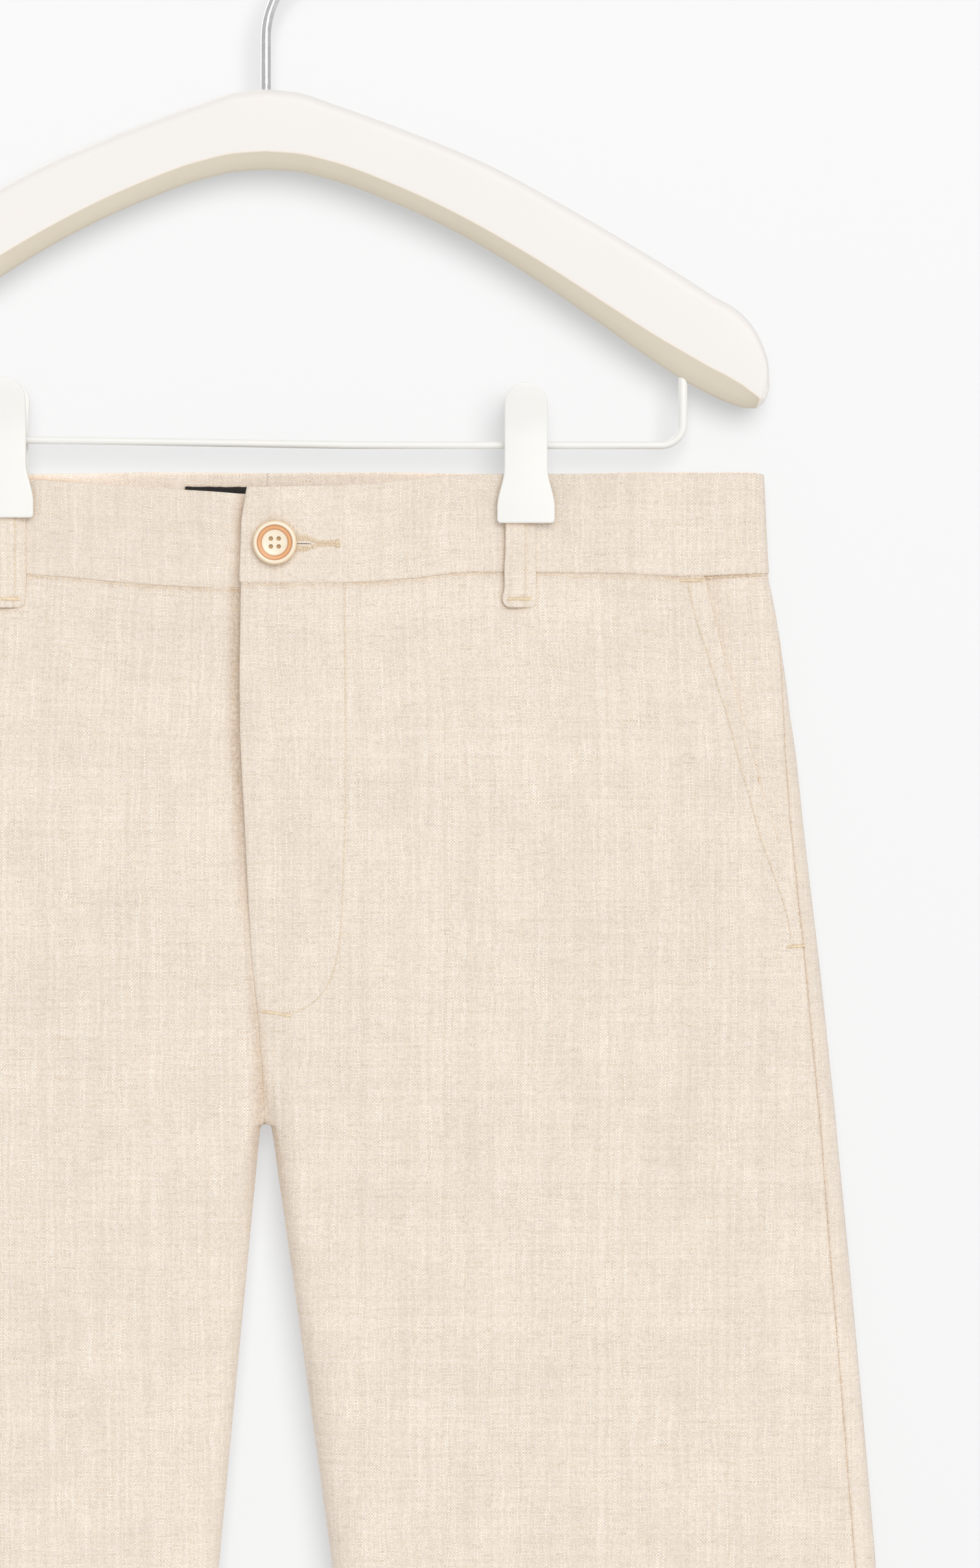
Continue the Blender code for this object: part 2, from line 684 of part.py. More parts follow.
def add_waistband(side):
    """Half of the waistband: from its front end round the side to the middle of the back."""
    rows = []
    for part in np.linspace(0.0, 1.0, BAND_ROWS):
        below = part * SEAM_LEVEL
        start = flap_edge(below + FLAP_EDGE[0][0]) if side > 0 else UNDERLAP_END
        line = ring(side, below, start, None if side > 0 else band_set_back)

        def depth_of(across, y, part=part):
            top = np.where(y < 0, follow(WAIST, "across", "top_" + hand(side), across), 0.0)
            seam = follow(WAIST, "across", "seam_" + hand(side), across)
            seam = np.where(y < 0, seam, SEAM_LEVEL)
            return top + (seam - top) * part

        at = spread(0.0, line.length[-1], BAND_COLUMNS, bunch=0.0)
        rows.append(wall_row(side, line, at, BAND_CLOTH, depth_of))
    add_wall_rows("waistband_" + hand(side), rows, LINEN)


def add_belt_loop(name, x, face, stand):
    """A loop from the top of the waist to below the waist seam, over the waistband."""
    side = 1 if x >= 0 else -1
    sign = -1 if face == "front" else 1
    outer = []
    for part in np.linspace(0.0, 1.0, LOOP_ROWS):
        below = LOOP_TOP + (LOOP_END - LOOP_TOP) * part
        xs = x + LOOP_WIDTH * np.linspace(-0.5, 0.5, LOOP_COLUMNS)
        out = surface_out(side, side * xs, below, face)
        out = out + GAP + SLACK + LOOP_CLOTH + stand * np.sin(np.pi * part) ** 2
        z = np.full(LOOP_COLUMNS, -WAIST_DROP - below)
        outer.append(np.stack([xs, sign * out, z], axis=-1))
    outer = np.array(outer)
    add_wall(name, outer, outer - [0.0, sign * LOOP_CLOTH, 0.0], LINEN)


def add_label():
    """A plain label on the inside of the back waistband."""
    outer = []
    for below in np.linspace(LABEL_TOP, LABEL_TOP + LABEL_HEIGHT, LABEL_ROWS):
        xs = np.linspace(-LABEL_HALF_WIDTH, LABEL_HALF_WIDTH, LABEL_COLUMNS)
        out = surface_out(1, np.abs(xs), below, "back") - BAND_CLOTH - GAP - SLACK
        z = np.full(LABEL_COLUMNS, -WAIST_DROP - below)
        outer.append(np.stack([xs, out, z], axis=-1))
    outer = np.array(outer)
    add_wall("waist_label", outer, outer - [0.0, LABEL_CLOTH, 0.0], LABEL_BLACK)


def add_button():
    """A turned button with a raised rim and four holes, its face towards the viewer."""
    profile = [(radius * BUTTON_RADIUS, height * BUTTON_THICK) for radius, height in BUTTON_PROFILE]
    segments = BUTTON_SEGMENTS
    points = [(0.0, 0.0, profile[0][1])]
    for radius, height in profile[1:-1]:
        for k in range(segments):
            angle = 2 * np.pi * k / segments
            points.append((radius * np.cos(angle), radius * np.sin(angle), height))
    points.append((0.0, 0.0, 0.0))
    faces = []
    for k in range(segments):
        after = (k + 1) % segments
        faces.append((0, 1 + k, 1 + after))
        for ring_index in range(len(profile) - 3):
            a = 1 + ring_index * segments
            b = a + segments
            faces.append((a + k, b + k, b + after, a + after))
        last = 1 + (len(profile) - 3) * segments
        faces.append((len(points) - 1, last + after, last + k))
    button = add_object("button", points, faces, BUTTON_CREAM)
    out = float(surface_out(1, BUTTON_X, BUTTON_BELOW, "front")) + GAP + SLACK
    place = [BUTTON_X * METRES, -out * METRES, -(WAIST_DROP + BUTTON_BELOW) * METRES]
    button.matrix_world = Matrix.Translation(place) @ Matrix.Rotation(np.pi / 2, 4, "X")
    quarter = Matrix.Rotation(np.pi / 2, 4, "X")
    for index in range(4):
        angle = np.pi / 4 + index * np.pi / 2
        hole = add_round_cutter(
            f"button_hole_{index}",
            BUTTON_HOLE_RADIUS,
            4 * BUTTON_THICK,
            (
                BUTTON_X + BUTTON_HOLE_OFFSET * np.cos(angle),
                -out,
                -(WAIST_DROP + BUTTON_BELOW) + BUTTON_HOLE_OFFSET * np.sin(angle),
            ),
            quarter,
        )
        cut_with(button, hole)


# ---- Hanger ----


def arm_section(station, side):
    """Ten points round the arm at one station, from its top edge forwards and back again."""
    top = np.array([side * station.top_x, station.top_up])
    low = np.array([side * station.low_x, station.low_up])
    span = np.linalg.norm(top - low)
    up = (top - low) / span
    bevel = min(ARM_TOP_BEVEL, 0.3 * span)
    thick = ARM_OUT * min(1.0, ARM_THINNING[0] + span / ARM_THINNING[1])
    edge = min(ARM_EDGE_OUT, 0.5 * thick)
    part, part_out = ARM_LOW_EDGE
    heights = (
        (span, -edge),
        (span - bevel, -thick),
        (station.low_bevel, -thick),
        (part * station.low_bevel, -part_out * thick),
        (0.0, -edge),
        (0.0, edge),
        (part * station.low_bevel, part_out * thick),
        (station.low_bevel, thick),
        (span - bevel, thick),
        (span, edge),
    )
    section = []
    for height, y in heights:
        x, z = low + up * height
        section.append((x, y, z - WAIST_DROP))
    return section


def bar_height(x):
    xs, ups = zip(*BAR_UP)
    return float(np.interp(x, xs, ups))


def add_hanger_body():
    sections = [arm_section(station, -1) for station in ARM[:0:-1]]
    sections += [arm_section(station, 1) for station in ARM]
    body = add_loft("hanger_body", sections, HANGER_WHITE)
    top = ARM[0].top_up - WAIST_DROP
    upright = Matrix.Identity(4)
    cut_with(body, add_round_cutter("hook_socket", HOOK_ROD + GAP, 2 * HOOK_SOCKET, (0, 0, top), upright))
    for side in (-1, 1):
        middle = BAR_SOCKET_TOP - BAR_SOCKET_LENGTH / 2 - WAIST_DROP
        name = "bar_socket_left" if side > 0 else "bar_socket_right"
        place = (side * BAR_END_X, 0, middle)
        cut_with(body, add_round_cutter(name, BAR_ROD + GAP, BAR_SOCKET_LENGTH, place, upright))


def arc(centre, radius, begin, end, count):
    """Points in the XZ plane on an arc, with angles in degrees from +X."""
    angles = np.radians(np.linspace(begin, end, count))
    return [(centre[0] + radius * np.cos(a), 0.0, centre[1] + radius * np.sin(a)) for a in angles]


def add_hook():
    """From the tip over the top, then back to the middle and down into the hanger's neck."""
    radius = HOOK_INNER + HOOK_ROD
    route = arc((0.0, -HOOK_INNER), radius, HOOK_TIP_ANGLE, HOOK_LEAVE_ANGLE, HOOK_STOPS)
    leave_x, _, leave_z = route[-1]
    turn = np.radians(-HOOK_LEAVE_ANGLE)
    stem_radius = leave_x / (1.0 - np.cos(turn))
    stem_centre = (stem_radius, leave_z - stem_radius * np.sin(turn))
    route += arc(stem_centre, stem_radius, 180.0 + HOOK_LEAVE_ANGLE, 180.0, STEM_STOPS)[1:]
    neck = ARM[0].top_up - WAIST_DROP
    route.append((0.0, 0.0, neck - HOOK_SOCKET + HOOK_SOCKET_SPARE))
    add_rod("hook", route, HOOK_ROD, METAL_BRIGHT)


def add_bar():
    """The trouser bar: up into each arm at its ends, with a round corner on each side."""
    right_turn = bar_height(-BAR_END_X) + BAR_CORNER
    left_turn = bar_height(BAR_END_X) + BAR_CORNER
    turn_x = BAR_END_X - BAR_CORNER
    top = BAR_SOCKET_TOP - BAR_SOCKET_SPARE
    route = [(-BAR_END_X, 0.0, top), (-BAR_END_X, 0.0, right_turn + BAR_STRAIGHT)]
    route += arc((-turn_x, right_turn), BAR_CORNER, 180.0, 270.0, BAR_CORNER_STOPS)
    for x in np.linspace(-BAR_RUN, BAR_RUN, BAR_RUN_STOPS):
        route.append((x, 0.0, bar_height(x)))
    route += arc((turn_x, left_turn), BAR_CORNER, 270.0, 360.0, BAR_CORNER_STOPS)
    route += [(BAR_END_X, 0.0, left_turn + BAR_STRAIGHT), (BAR_END_X, 0.0, top)]
    add_rod("trouser_bar", [(x, y, up - WAIST_DROP) for x, y, up in route], BAR_ROD, METAL_WHITE)


def jaw_half_width(up):
    """Half the width of a clip's jaw at a height over the top of the waist."""
    flare = ease((JAW_FLARE[0] - up) / (JAW_FLARE[0] - JAW_FLARE[1]))
    half = JAW_TOP_HALF + (JAW_END_HALF - JAW_TOP_HALF) * flare
    to_top = np.clip((JAW_TOP - up) / JAW_TOP_HALF, 0.0, 1.0)
    half = half * np.sqrt(1.0 - (1.0 - to_top) ** 2)
    to_end = np.clip((up - JAW_END) / JAW_CORNER, 0.0, 1.0)
    return half - JAW_CORNER * (1.0 - np.sqrt(1.0 - (1.0 - to_end) ** 2))


def jaw_inner_out(up, rest_out):
    """How far the jaw's inner face stands out: on the cloth below, on the sleeve, then a lever."""
    at_sleeve = SLEEVE_RADIUS + GAP + SLEEVE_SLACK
    low, high = JAW_ON_SLEEVE
    if up <= low:
        return rest_out + (at_sleeve - rest_out) * float(ease(up / low))
    return at_sleeve + (LEVER_OUT - at_sleeve) * float(ease((up - high) / LEVER_RISE))


def add_jaw(name, x, lift, sign, rest_out):
    rise = JAW_TOP - JAW_END
    ups = [JAW_END, JAW_END + 0.2 * JAW_CORNER, JAW_END + JAW_CORNER]
    ups += [JAW_END + rise * part for part in JAW_LOW_PARTS]
    ups += [JAW_TOP - JAW_TOP_HALF * part for part in JAW_TOP_PARTS]
    sections = []
    for up in ups:
        half = float(jaw_half_width(up))
        near = jaw_inner_out(up, rest_out)
        far = near + JAW_THICK
        soft = min(JAW_EDGE, 0.3 * half)
        outline = (
            (-half, near),
            (half, near),
            (half, far - JAW_EDGE),
            (half - soft, far),
            (-half + soft, far),
            (-half, far - JAW_EDGE),
        )
        z = up + lift - WAIST_DROP
        sections.append([(x + across, sign * out, z) for across, out in outline])
    add_loft(name, sections, METAL_WHITE)


def add_sleeve(name, x, up):
    """The tube that carries the jaws and slides on the bar."""
    segments = SLEEVE_SEGMENTS
    points = []
    for across in (x - SLEEVE_HALF, x + SLEEVE_HALF):
        for radius in (BAR_ROD + GAP, SLEEVE_RADIUS):
            for k in range(segments):
                a = 2 * np.pi * k / segments
                points.append((across, radius * np.cos(a), up - WAIST_DROP + radius * np.sin(a)))
    faces = []
    for k in range(segments):
        after = (k + 1) % segments
        near_in, near_out, far_in, far_out = (ring_start * segments for ring_start in range(4))
        faces.append((near_in + k, near_in + after, near_out + after, near_out + k))
        faces.append((far_in + after, far_in + k, far_out + k, far_out + after))
        faces.append((near_in + after, near_in + k, far_in + k, far_in + after))
        faces.append((near_out + k, near_out + after, far_out + after, far_out + k))
    add_object(name, points, faces, METAL_BRIGHT)


def add_clip(side):
    x = side * CLIP_ACROSS
    lift = bar_height(x) - bar_height(CLIP_ACROSS)
    over_band = PINCH_OUT + GAP + SLACK
    over_loop = over_band + LOOP_CLOTH + GAP
    add_jaw(f"clip_{hand(side)}_front", x, lift, -1, over_loop)
    add_jaw(f"clip_{hand(side)}_back", x, lift, 1, over_band)
    add_sleeve(f"clip_{hand(side)}_sleeve", x, bar_height(x))


def main():
    clear_scene()
    for side in (1, -1):
        add_front(side)
        add_back(side)
        add_pocket_facing(side)
        add_waistband(side)
        add_clip(side)
    add_fly_shield()
    add_belt_loop("belt_loop_front_left", FRONT_LOOP_X, "front", 0.0)
    add_belt_loop("belt_loop_front_right", -FRONT_LOOP_X, "front", 0.0)
    add_belt_loop("belt_loop_back_left", BACK_LOOP_X, "back", LOOP_STAND)
    add_belt_loop("belt_loop_back_right", -BACK_LOOP_X, "back", LOOP_STAND)
    add_belt_loop("belt_loop_back_middle", 0.0, "back", LOOP_STAND)
    add_label()
    add_button()
    add_hanger_body()
    add_hook()
    add_bar()


main()
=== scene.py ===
"""Looks of the linen bermuda shorts on their clip hanger.

Left and right are the wearer's: the wearer's left is at +X. The front faces -Y and +Z is up.
"below" counts down from the top edge of the back waist, "across" counts out from the middle of
the garment, and "out" counts away from the hanging plane Y = 0. All sizes are in millimetres:
add_mesh turns them into Blender's metres.
"""

from collections import namedtuple

import bpy
import numpy as np
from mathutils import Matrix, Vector


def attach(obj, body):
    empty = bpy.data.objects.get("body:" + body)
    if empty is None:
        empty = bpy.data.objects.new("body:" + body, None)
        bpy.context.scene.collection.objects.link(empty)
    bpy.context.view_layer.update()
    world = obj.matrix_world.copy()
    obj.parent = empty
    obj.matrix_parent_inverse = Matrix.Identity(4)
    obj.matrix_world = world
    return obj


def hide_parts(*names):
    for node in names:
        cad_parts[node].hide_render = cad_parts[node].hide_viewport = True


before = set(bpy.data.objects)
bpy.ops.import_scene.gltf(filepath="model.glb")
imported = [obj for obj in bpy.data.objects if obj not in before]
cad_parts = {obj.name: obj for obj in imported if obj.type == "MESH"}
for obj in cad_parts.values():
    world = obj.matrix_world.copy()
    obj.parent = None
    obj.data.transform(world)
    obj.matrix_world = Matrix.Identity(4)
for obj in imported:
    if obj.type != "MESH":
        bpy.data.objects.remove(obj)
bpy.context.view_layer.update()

METRES = 0.001

# ---- Sizes of the garment and the hanger ----

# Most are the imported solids' own. These are drawn a little differently here, or only here:
# FLY_LAP_FADE, FLY_CLOSED, CROTCH_ROUND, CROTCH_ROWS, RECESS_FADE, RECESS_THINS, all of HOLLOW_
# and FACING_, SHIELD_SUNK, LABEL_TOP, BAR_ROD and BAR_ROD_UP.

WAIST_DROP = 240.0  # from the hook's inner top down to the top of the waist
CLOTH = 1.2
BAND_CLOTH = 2.2
GAP = 0.3
SLACK = 0.1
OUTSEAM = 510.0
HEM_DEPTH = 35.0
HEM_EXTRA = 0.8
HEM_LEVEL = OUTSEAM - HEM_DEPTH
SEAM_LEVEL = 41.2  # waist seam at the sides and the back

CLIP_ACROSS = 106.7
PINCH_HALF_WIDTH = 12.0
PINCH_OUT = BAND_CLOTH + GAP / 2
FRONT_BOW = 13.5
BACK_BOW = 12.0
SIDE_OUT = 6.3
SIDE_RISE = 38.0
BOW_FADE = (24.0, 120.0)
FOLD_ROUND = (6.5, 13.0)

FLY_LAP = 12.0
FLY_LAP_FADE = (175.0, 25.0)
FLY_CLOSED = (186.0, 10.0)  # below, over: where the two fronts come to meet edge to edge
CROTCH = 266.5
CROTCH_ROUND = 2.8  # how far above the crotch the cloth turns under
CROTCH_ROWS = (263.6, 264.6, 265.4, 266.0, 266.35, 266.5, 266.7, 266.9, 267.6, 268.5, 269.5)
RECESS_RAMP = 15.0
RECESS_FADE = (180.0, 25.0)
RECESS_THINS = (120.0, 80.0, 0.7)  # below, over, by: it thins before it fades
HOLLOW_FADE = (140.0, 72.0)
HOLLOW_AT = 1.6  # from the lapping edge to the hollow beside it
HOLLOW_DEPTH = 1.25
HOLLOW_REACH = 2.8
UNDERLAP_END = -33.0
SHIELD_START = -8.0
SHIELD_SUNK = 0.8
FLAP_EDGE = ((6.0, -7.2), (20.0, -9.5), (45.0, -10.3))  # below, x

POCKET_UNDER = 18.0
POCKET_END = 185.0
FACING_END = POCKET_END + 5.0
FACING_TUCK = 3.0  # how far its low end stops short of the side seam
FACING_BACK = 0.42
FACING_SLOPE = 5.0

Level = namedtuple("Level", "below side seam_inset left_inner right_inner valley out")
LEVELS = (
    Level(0.0, 204.5, 0.0, -7.3, -7.3, 1.00, 10.0),
    Level(41.0, 206.6, 0.0, -9.8, -9.8, 1.00, 10.0),
    Level(61.0, 209.9, 0.0, -10.1, -10.1, 1.00, 10.5),
    Level(78.0, 212.5, 1.3, -10.4, -10.4, 1.00, 11.0),
    Level(100.0, 215.4, 3.2, -10.3, -10.3, 1.00, 11.5),
    Level(119.0, 218.0, 5.0, -9.6, -9.6, 1.00, 11.8),
    Level(150.0, 221.4, 5.9, -8.0, -8.0, 1.00, 12.0),
    Level(172.0, 223.9, 6.1, -7.0, -7.0, 0.98, 12.0),
    Level(201.0, 227.3, 6.5, -5.0, -5.0, 0.92, 12.0),
    Level(221.0, 229.4, 6.8, -2.8, -2.8, 0.84, 12.0),
    Level(242.0, 231.6, 7.0, -1.3, -1.3, 0.72, 11.8),
    Level(257.0, 233.2, 7.1, -0.6, -0.6, 0.56, 11.7),
    Level(266.5, 234.15, 7.2, -0.2, -0.2, 0.42, 11.6),
    Level(266.9, 234.2, 7.2, 1.9, -1.9, 0.41, 11.6),
    Level(269.5, 234.4, 7.2, 2.4, -2.2, 0.37, 11.6),
    Level(285.0, 235.8, 7.5, 4.6, -3.7, 0.00, 11.4),
    Level(327.0, 239.8, 8.2, 10.6, -7.7, 0.00, 10.8),
    Level(400.0, 246.3, 8.8, 20.6, -14.6, 0.00, 10.5),
    Level(510.0, 255.6, 9.5, 35.6, -24.9, 0.00, 11.2),
)
VALLEY_REACH = (46.0, 15.0)
VALLEY_LEVELS = (215.0, 262.0)
PARTING = (250.0, 285.0)  # over these levels the middle's form widens into the gap between the legs
LEG_ROUND = (3.0, 0.05)  # of the legs' inner edges, at the crotch and where the leg is round
LEG_ROUND_LEVELS = (270.0, 284.0)

Waist = namedtuple("Waist", "across top_left seam_left top_right seam_right")
WAIST = (
    Waist(-36.0, 6.0, 45.3, 9.2, 48.4),
    Waist(0.0, 5.9, 45.4, 9.0, 48.2),
    Waist(20.0, 5.5, 45.4, 7.9, 47.5),
    Waist(40.0, 4.7, 44.9, 6.5, 46.4),
    Waist(60.0, 2.5, 43.3, 5.0, 44.8),
    Waist(85.0, 0.2, 40.6, 3.0, 42.3),
    Waist(111.0, 0.0, 40.7, 1.5, 41.0),
    Waist(146.0, 0.0, 41.3, 0.4, 41.3),
    Waist(170.0, 0.0, 42.4, 0.1, 42.2),
    Waist(206.0, 0.0, 41.2, 0.0, 41.2),
)
SAG_FADE = 150.0

PocketEdge = namedtuple("PocketEdge", "below across")
POCKET_EDGE = (
    PocketEdge(41.0, 180.0),
    PocketEdge(59.4, 184.2),
    PocketEdge(76.9, 188.4),
    PocketEdge(88.8, 192.2),
    PocketEdge(125.0, 202.0),
    PocketEdge(155.0, 211.0),
    PocketEdge(185.0, 218.6),
)
ShieldEdge = namedtuple("ShieldEdge", "below x")
SHIELD_EDGE = (
    ShieldEdge(45.0, 32.6),
    ShieldEdge(157.0, 32.5),
    ShieldEdge(181.0, 31.0),
    ShieldEdge(195.0, 28.0),
    ShieldEdge(206.0, 22.0),
    ShieldEdge(212.0, 12.0),
)

# The largest folds, which the solids have, as soft troughs (sunk > 0) and ridges (sunk < 0).
Fold = namedtuple("Fold", "face x_top below_top x_end below_end reach sunk")
FOLDS = (
    Fold("front", -22.0, 62.0, -16.0, 230.0, 11.0, 1.0),
    Fold("front", -17.0, 262.0, -22.0, 500.0, 12.0, 2.2),
    Fold("front", -62.0, 190.0, -70.0, 470.0, 22.0, -1.2),
    Fold("front", 26.0, 250.0, 44.0, 400.0, 16.0, 1.4),
    Fold("front", 106.0, 60.0, 112.0, 240.0, 20.0, 1.0),
    Fold("front", -106.0, 60.0, -110.0, 260.0, 20.0, 1.2),
    Fold("back", 104.0, 60.0, 118.0, 300.0, 20.0, 1.4),
    Fold("back", -106.0, 60.0, -124.0, 280.0, 22.0, 1.2),
    Fold("back", 30.0, 240.0, 74.0, 420.0, 18.0, 1.8),
    Fold("back", -26.0, 245.0, -66.0, 440.0, 20.0, 1.6),
)

LOOP_WIDTH = 12.9
LOOP_CLOTH = 1.4
LOOP_TOP = 1.5
LOOP_END = 55.0
LOOP_STAND = 1.0
FRONT_LOOP_X = 104.5
BACK_LOOP_X = 142.0

LABEL_HALF_WIDTH = 33.5
LABEL_TOP = 4.7
LABEL_HEIGHT = 28.0
LABEL_CLOTH = 0.7
BUTTON_X = 4.4
BUTTON_BELOW = 28.9
BUTTON_RADIUS = 9.0
BUTTON_THICK = 3.2

Station = namedtuple("Station", "top_x top_up low_x low_up low_bevel")
ARM = (
    Station(0.0, 158.0, 0.0, 125.0, 7.0),
    Station(12.0, 156.8, 12.0, 124.2, 7.0),
    Station(30.0, 151.0, 28.0, 120.5, 7.0),
    Station(60.0, 140.0, 58.0, 109.0, 7.0),
    Station(90.0, 127.5, 86.0, 95.0, 7.0),
    Station(120.0, 111.5, 112.0, 79.0, 7.4),
    Station(150.0, 94.0, 140.7, 59.3, 8.4),
    Station(170.0, 81.8, 158.0, 47.2, 9.2),
    Station(184.4, 72.6, 173.0, 37.6, 10.0),
    Station(192.4, 68.1, 184.0, 31.8, 10.0),
    Station(199.5, 61.0, 192.0, 28.4, 9.0),
    Station(203.5, 53.8, 196.6, 27.2, 7.0),
    Station(206.2, 45.0, 200.4, 27.0, 4.5),
    Station(206.6, 36.6, 203.6, 28.6, 2.0),
)
ARM_OUT = 6.5
ARM_TOP_BEVEL = 2.8
ARM_EDGE_OUT = 1.6

HOOK_INNER = 18.0
HOOK_ROD = 2.0
HOOK_TIP_ANGLE = 215.0
HOOK_LEAVE_ANGLE = -50.0
HOOK_SOCKET = 14.0

BAR_ROD = 1.58
BAR_ROD_UP = 1.85  # radius of its two upright ends
BAR_END_X = 171.2
BAR_CORNER = 9.0
BAR_SOCKET_TOP = 50.0
BAR_UP = ((-BAR_END_X, 14.6), (-77.0, 13.8), (35.0, 11.9), (BAR_END_X, 11.8))  # x, up

JAW_THICK = 2.0
JAW_TOP = 36.8
JAW_END = -20.4
JAW_TOP_HALF = 8.8
JAW_END_HALF = 11.8
JAW_FLARE = (2.5, -14.0)
JAW_CORNER = 1.6
LEVER_OUT = 9.5
SLEEVE_RADIUS = 4.0
SLEEVE_HALF = 6.5

RING_SAMPLES = 241

# ---- Sizes of the finer forms ----

# Smaller creases, given here in the same terms as the folds.
CREASES = (
    Fold("front", -12.5, 40.0, -6.5, 236.0, 4.5, 1.0),
    Fold("front", -74.0, 48.0, -73.0, 80.0, 7.0, 0.7),
    Fold("front", -58.0, 135.0, -62.0, 212.0, 9.0, 0.9),
    Fold("front", -38.0, 70.0, -44.0, 190.0, 12.0, -0.5),
    Fold("front", -90.0, 100.0, -96.0, 300.0, 14.0, 0.6),
    Fold("front", -150.0, 70.0, -160.0, 210.0, 16.0, 0.8),
    Fold("front", -185.0, 200.0, -196.0, 420.0, 15.0, 0.9),
    Fold("front", 5.0, 224.0, 9.0, 252.0, 5.0, 0.9),
    Fold("front", 20.0, 90.0, 17.0, 200.0, 9.0, -0.35),
    Fold("front", 14.0, 268.0, 24.0, 340.0, 7.0, 0.7),
    Fold("front", 52.0, 60.0, 58.0, 150.0, 11.0, -0.4),
    Fold("front", 78.0, 240.0, 92.0, 330.0, 13.0, 0.6),
    Fold("front", 66.0, 330.0, 96.0, 450.0, 16.0, 0.7),
    Fold("front", 150.0, 90.0, 156.0, 260.0, 18.0, 0.5),
    Fold("front", 172.0, 250.0, 186.0, 460.0, 17.0, 0.7),
    Fold("front", 208.0, 210.0, 226.0, 480.0, 9.0, 0.5),
    Fold("front", 128.0, 300.0, 138.0, 500.0, 20.0, -0.8),
    Fold("back", 60.0, 60.0, 52.0, 170.0, 13.0, 0.6),
    Fold("back", -64.0, 56.0, -58.0, 190.0, 12.0, 0.7),
    Fold("back", 12.0, 120.0, 34.0, 236.0, 10.0, 0.9),
    Fold("back", -10.0, 130.0, -36.0, 232.0, 11.0, 0.8),
    Fold("back", 160.0, 80.0, 174.0, 260.0, 16.0, 0.7),
    Fold("back", -158.0, 90.0, -176.0, 300.0, 18.0, 0.8),
    Fold("back", 132.0, 300.0, 142.0, 500.0, 18.0, -0.8),
    Fold("back", -128.0, 280.0, -134.0, 490.0, 20.0, -0.9),
)

# The sewn lines of the left front, x and below. The other side has the same without the fly's.
FLY_LINE = (
    (32.6, 45.8), (33.0, 90.0), (33.2, 130.0), (32.5, 156.0), (31.6, 180.0), (30.6, 192.5),
    (28.8, 201.5), (25.6, 209.5), (21.0, 215.4), (16.0, 218.8), (10.5, 221.4),
)
POCKET_LINE = (
    (172.8, 44.2), (176.2, 59.4), (180.7, 73.7), (185.0, 87.2), (189.3, 101.0), (194.0, 119.0),
    (198.0, 133.0), (202.6, 149.7), (209.0, 167.5), (213.0, 180.0), (214.8, 190.0),
)
FLY_BARTACK = ((-1.2, 220.0), (10.6, 221.8))  # x, below at each end
POCKET_BARTACK_TOP = ((169.8, 43.9), (179.2, 43.9))
POCKET_BARTACK_LOW = ((213.2, 193.6), (220.6, 193.2))
FLY_GROOVE_END = ((-3.0, 219.8),)
POCKET_GROOVE_END = ((214.9, 193.4), (223.0, 193.3))
POCKET_TACK = ((201.7, 124.4), (202.0, 126.8))
TACK_WIDTH = 0.6
LOOP_BARTACK = (51.4, 8.8)  # below, length
LOOP_SEWN = 0.155  # its sewn line, as part of its width from its middle
LOOP_LEAN = (0.5, -1.25)  # how far its edge at the smaller x stands out, and the other lies in
LOOP_WANDER = 0.55
LOOP_SPREAD = (47.5, 3.5, 0.8)  # below, over, by: its low end is wider to one side

STITCH = 1.9
STITCH_STEP = 2.55
SEAM_STITCH_STEP = 2.6
THREAD = 0.18
SEAM_STITCH_UNDER = 0.3  # below the waist seam
SEAM_SHOWN = (122.0, 172.0)  # between these places across, the stitches come out from the seam
SEAM_SHOWN_UNDER = 1.15
SEAM_STITCH_START = (-9.0, 11.5)  # across, on the left and on the right
SEAM_STITCH_END = 205.0
SEAM_STITCH_BACK = (1.0, 203.0)  # across, at the middle and at the side
BACK_STITCH = 2.3
HEM_STITCH_STEP = 3.4
HEM_STITCH_RISE = 0.08
HEM_STITCH_IN = 3.0  # from the leg's inner edge to the start of the hem's line of stitches

EDGE_STEPS = (0.0, 0.08, 0.2, 0.4, 0.7, 1.1, 1.7)
EDGE_ROLL = 1.0  # how near an edge both faces begin to turn in
ROLL_DEPTH = 0.46  # how far each turns in, as part of the thickness
SEAM_CLOSE = 0.1  # how far each of two sewn cloth edges reaches past their seam
BAND_PROUD = 0.5
BAND_PROUD_FADE = 9.0
BACK_RISE = 1.3  # the back waist, over the solids' level
BACK_RISE_OVER = 8.0

# Painted shade on the cloth's colour: along the seams, beside lapping edges, beside the closed middle and
# at the pocket's slit.
SEAM_SHADE = 0.45  # painted shade along the sewn seams
SEAM_SHADE_REACH = 0.8
WAIST_SHADE_REACH = 0.7
MIDDLE_SHADE = (0.22, 3.5)  # painted shade on both fronts beside the closed middle, and its reach
MIDDLE_SHADE_LEVELS = ((201.0, 30.0), (CROTCH, 60.0))  # below and over, where it begins and fades
LAP_SHADE = (0.16, 0.44)  # painted shade beside the fly's lapping edge, low and high on the fly
LAP_SHADE_REACH = (1.5, 2.2)
LAP_SHADE_FADE = (120.0, 85.0)
BAND_LAP_SHADE = 0.42  # painted shade beside the waistband's lapping end, as part of the fly's
POCKET_SHADE = 0.17
POCKET_SHADE_REACH = 6.0
POCKET_SHADE_FADE = (60.0, 80.0)
SLIT_SHADE = (178.0, 8.0)  # below, reach of the painted shade on the dark line at the pocket's low end
# Painted light on a wall's inner face, where the waistband's inside lies in shade.
INSIDE_PAINTED_LIGHTER = -1.0

NO_SEAM = 99.0  # a distance from sewn lines where there is none

# ---- Helpers ----


def ease(value):
    """0 to 1 with level ends."""
    value = np.clip(value, 0.0, 1.0)
    return value * value * (3.0 - 2.0 * value)


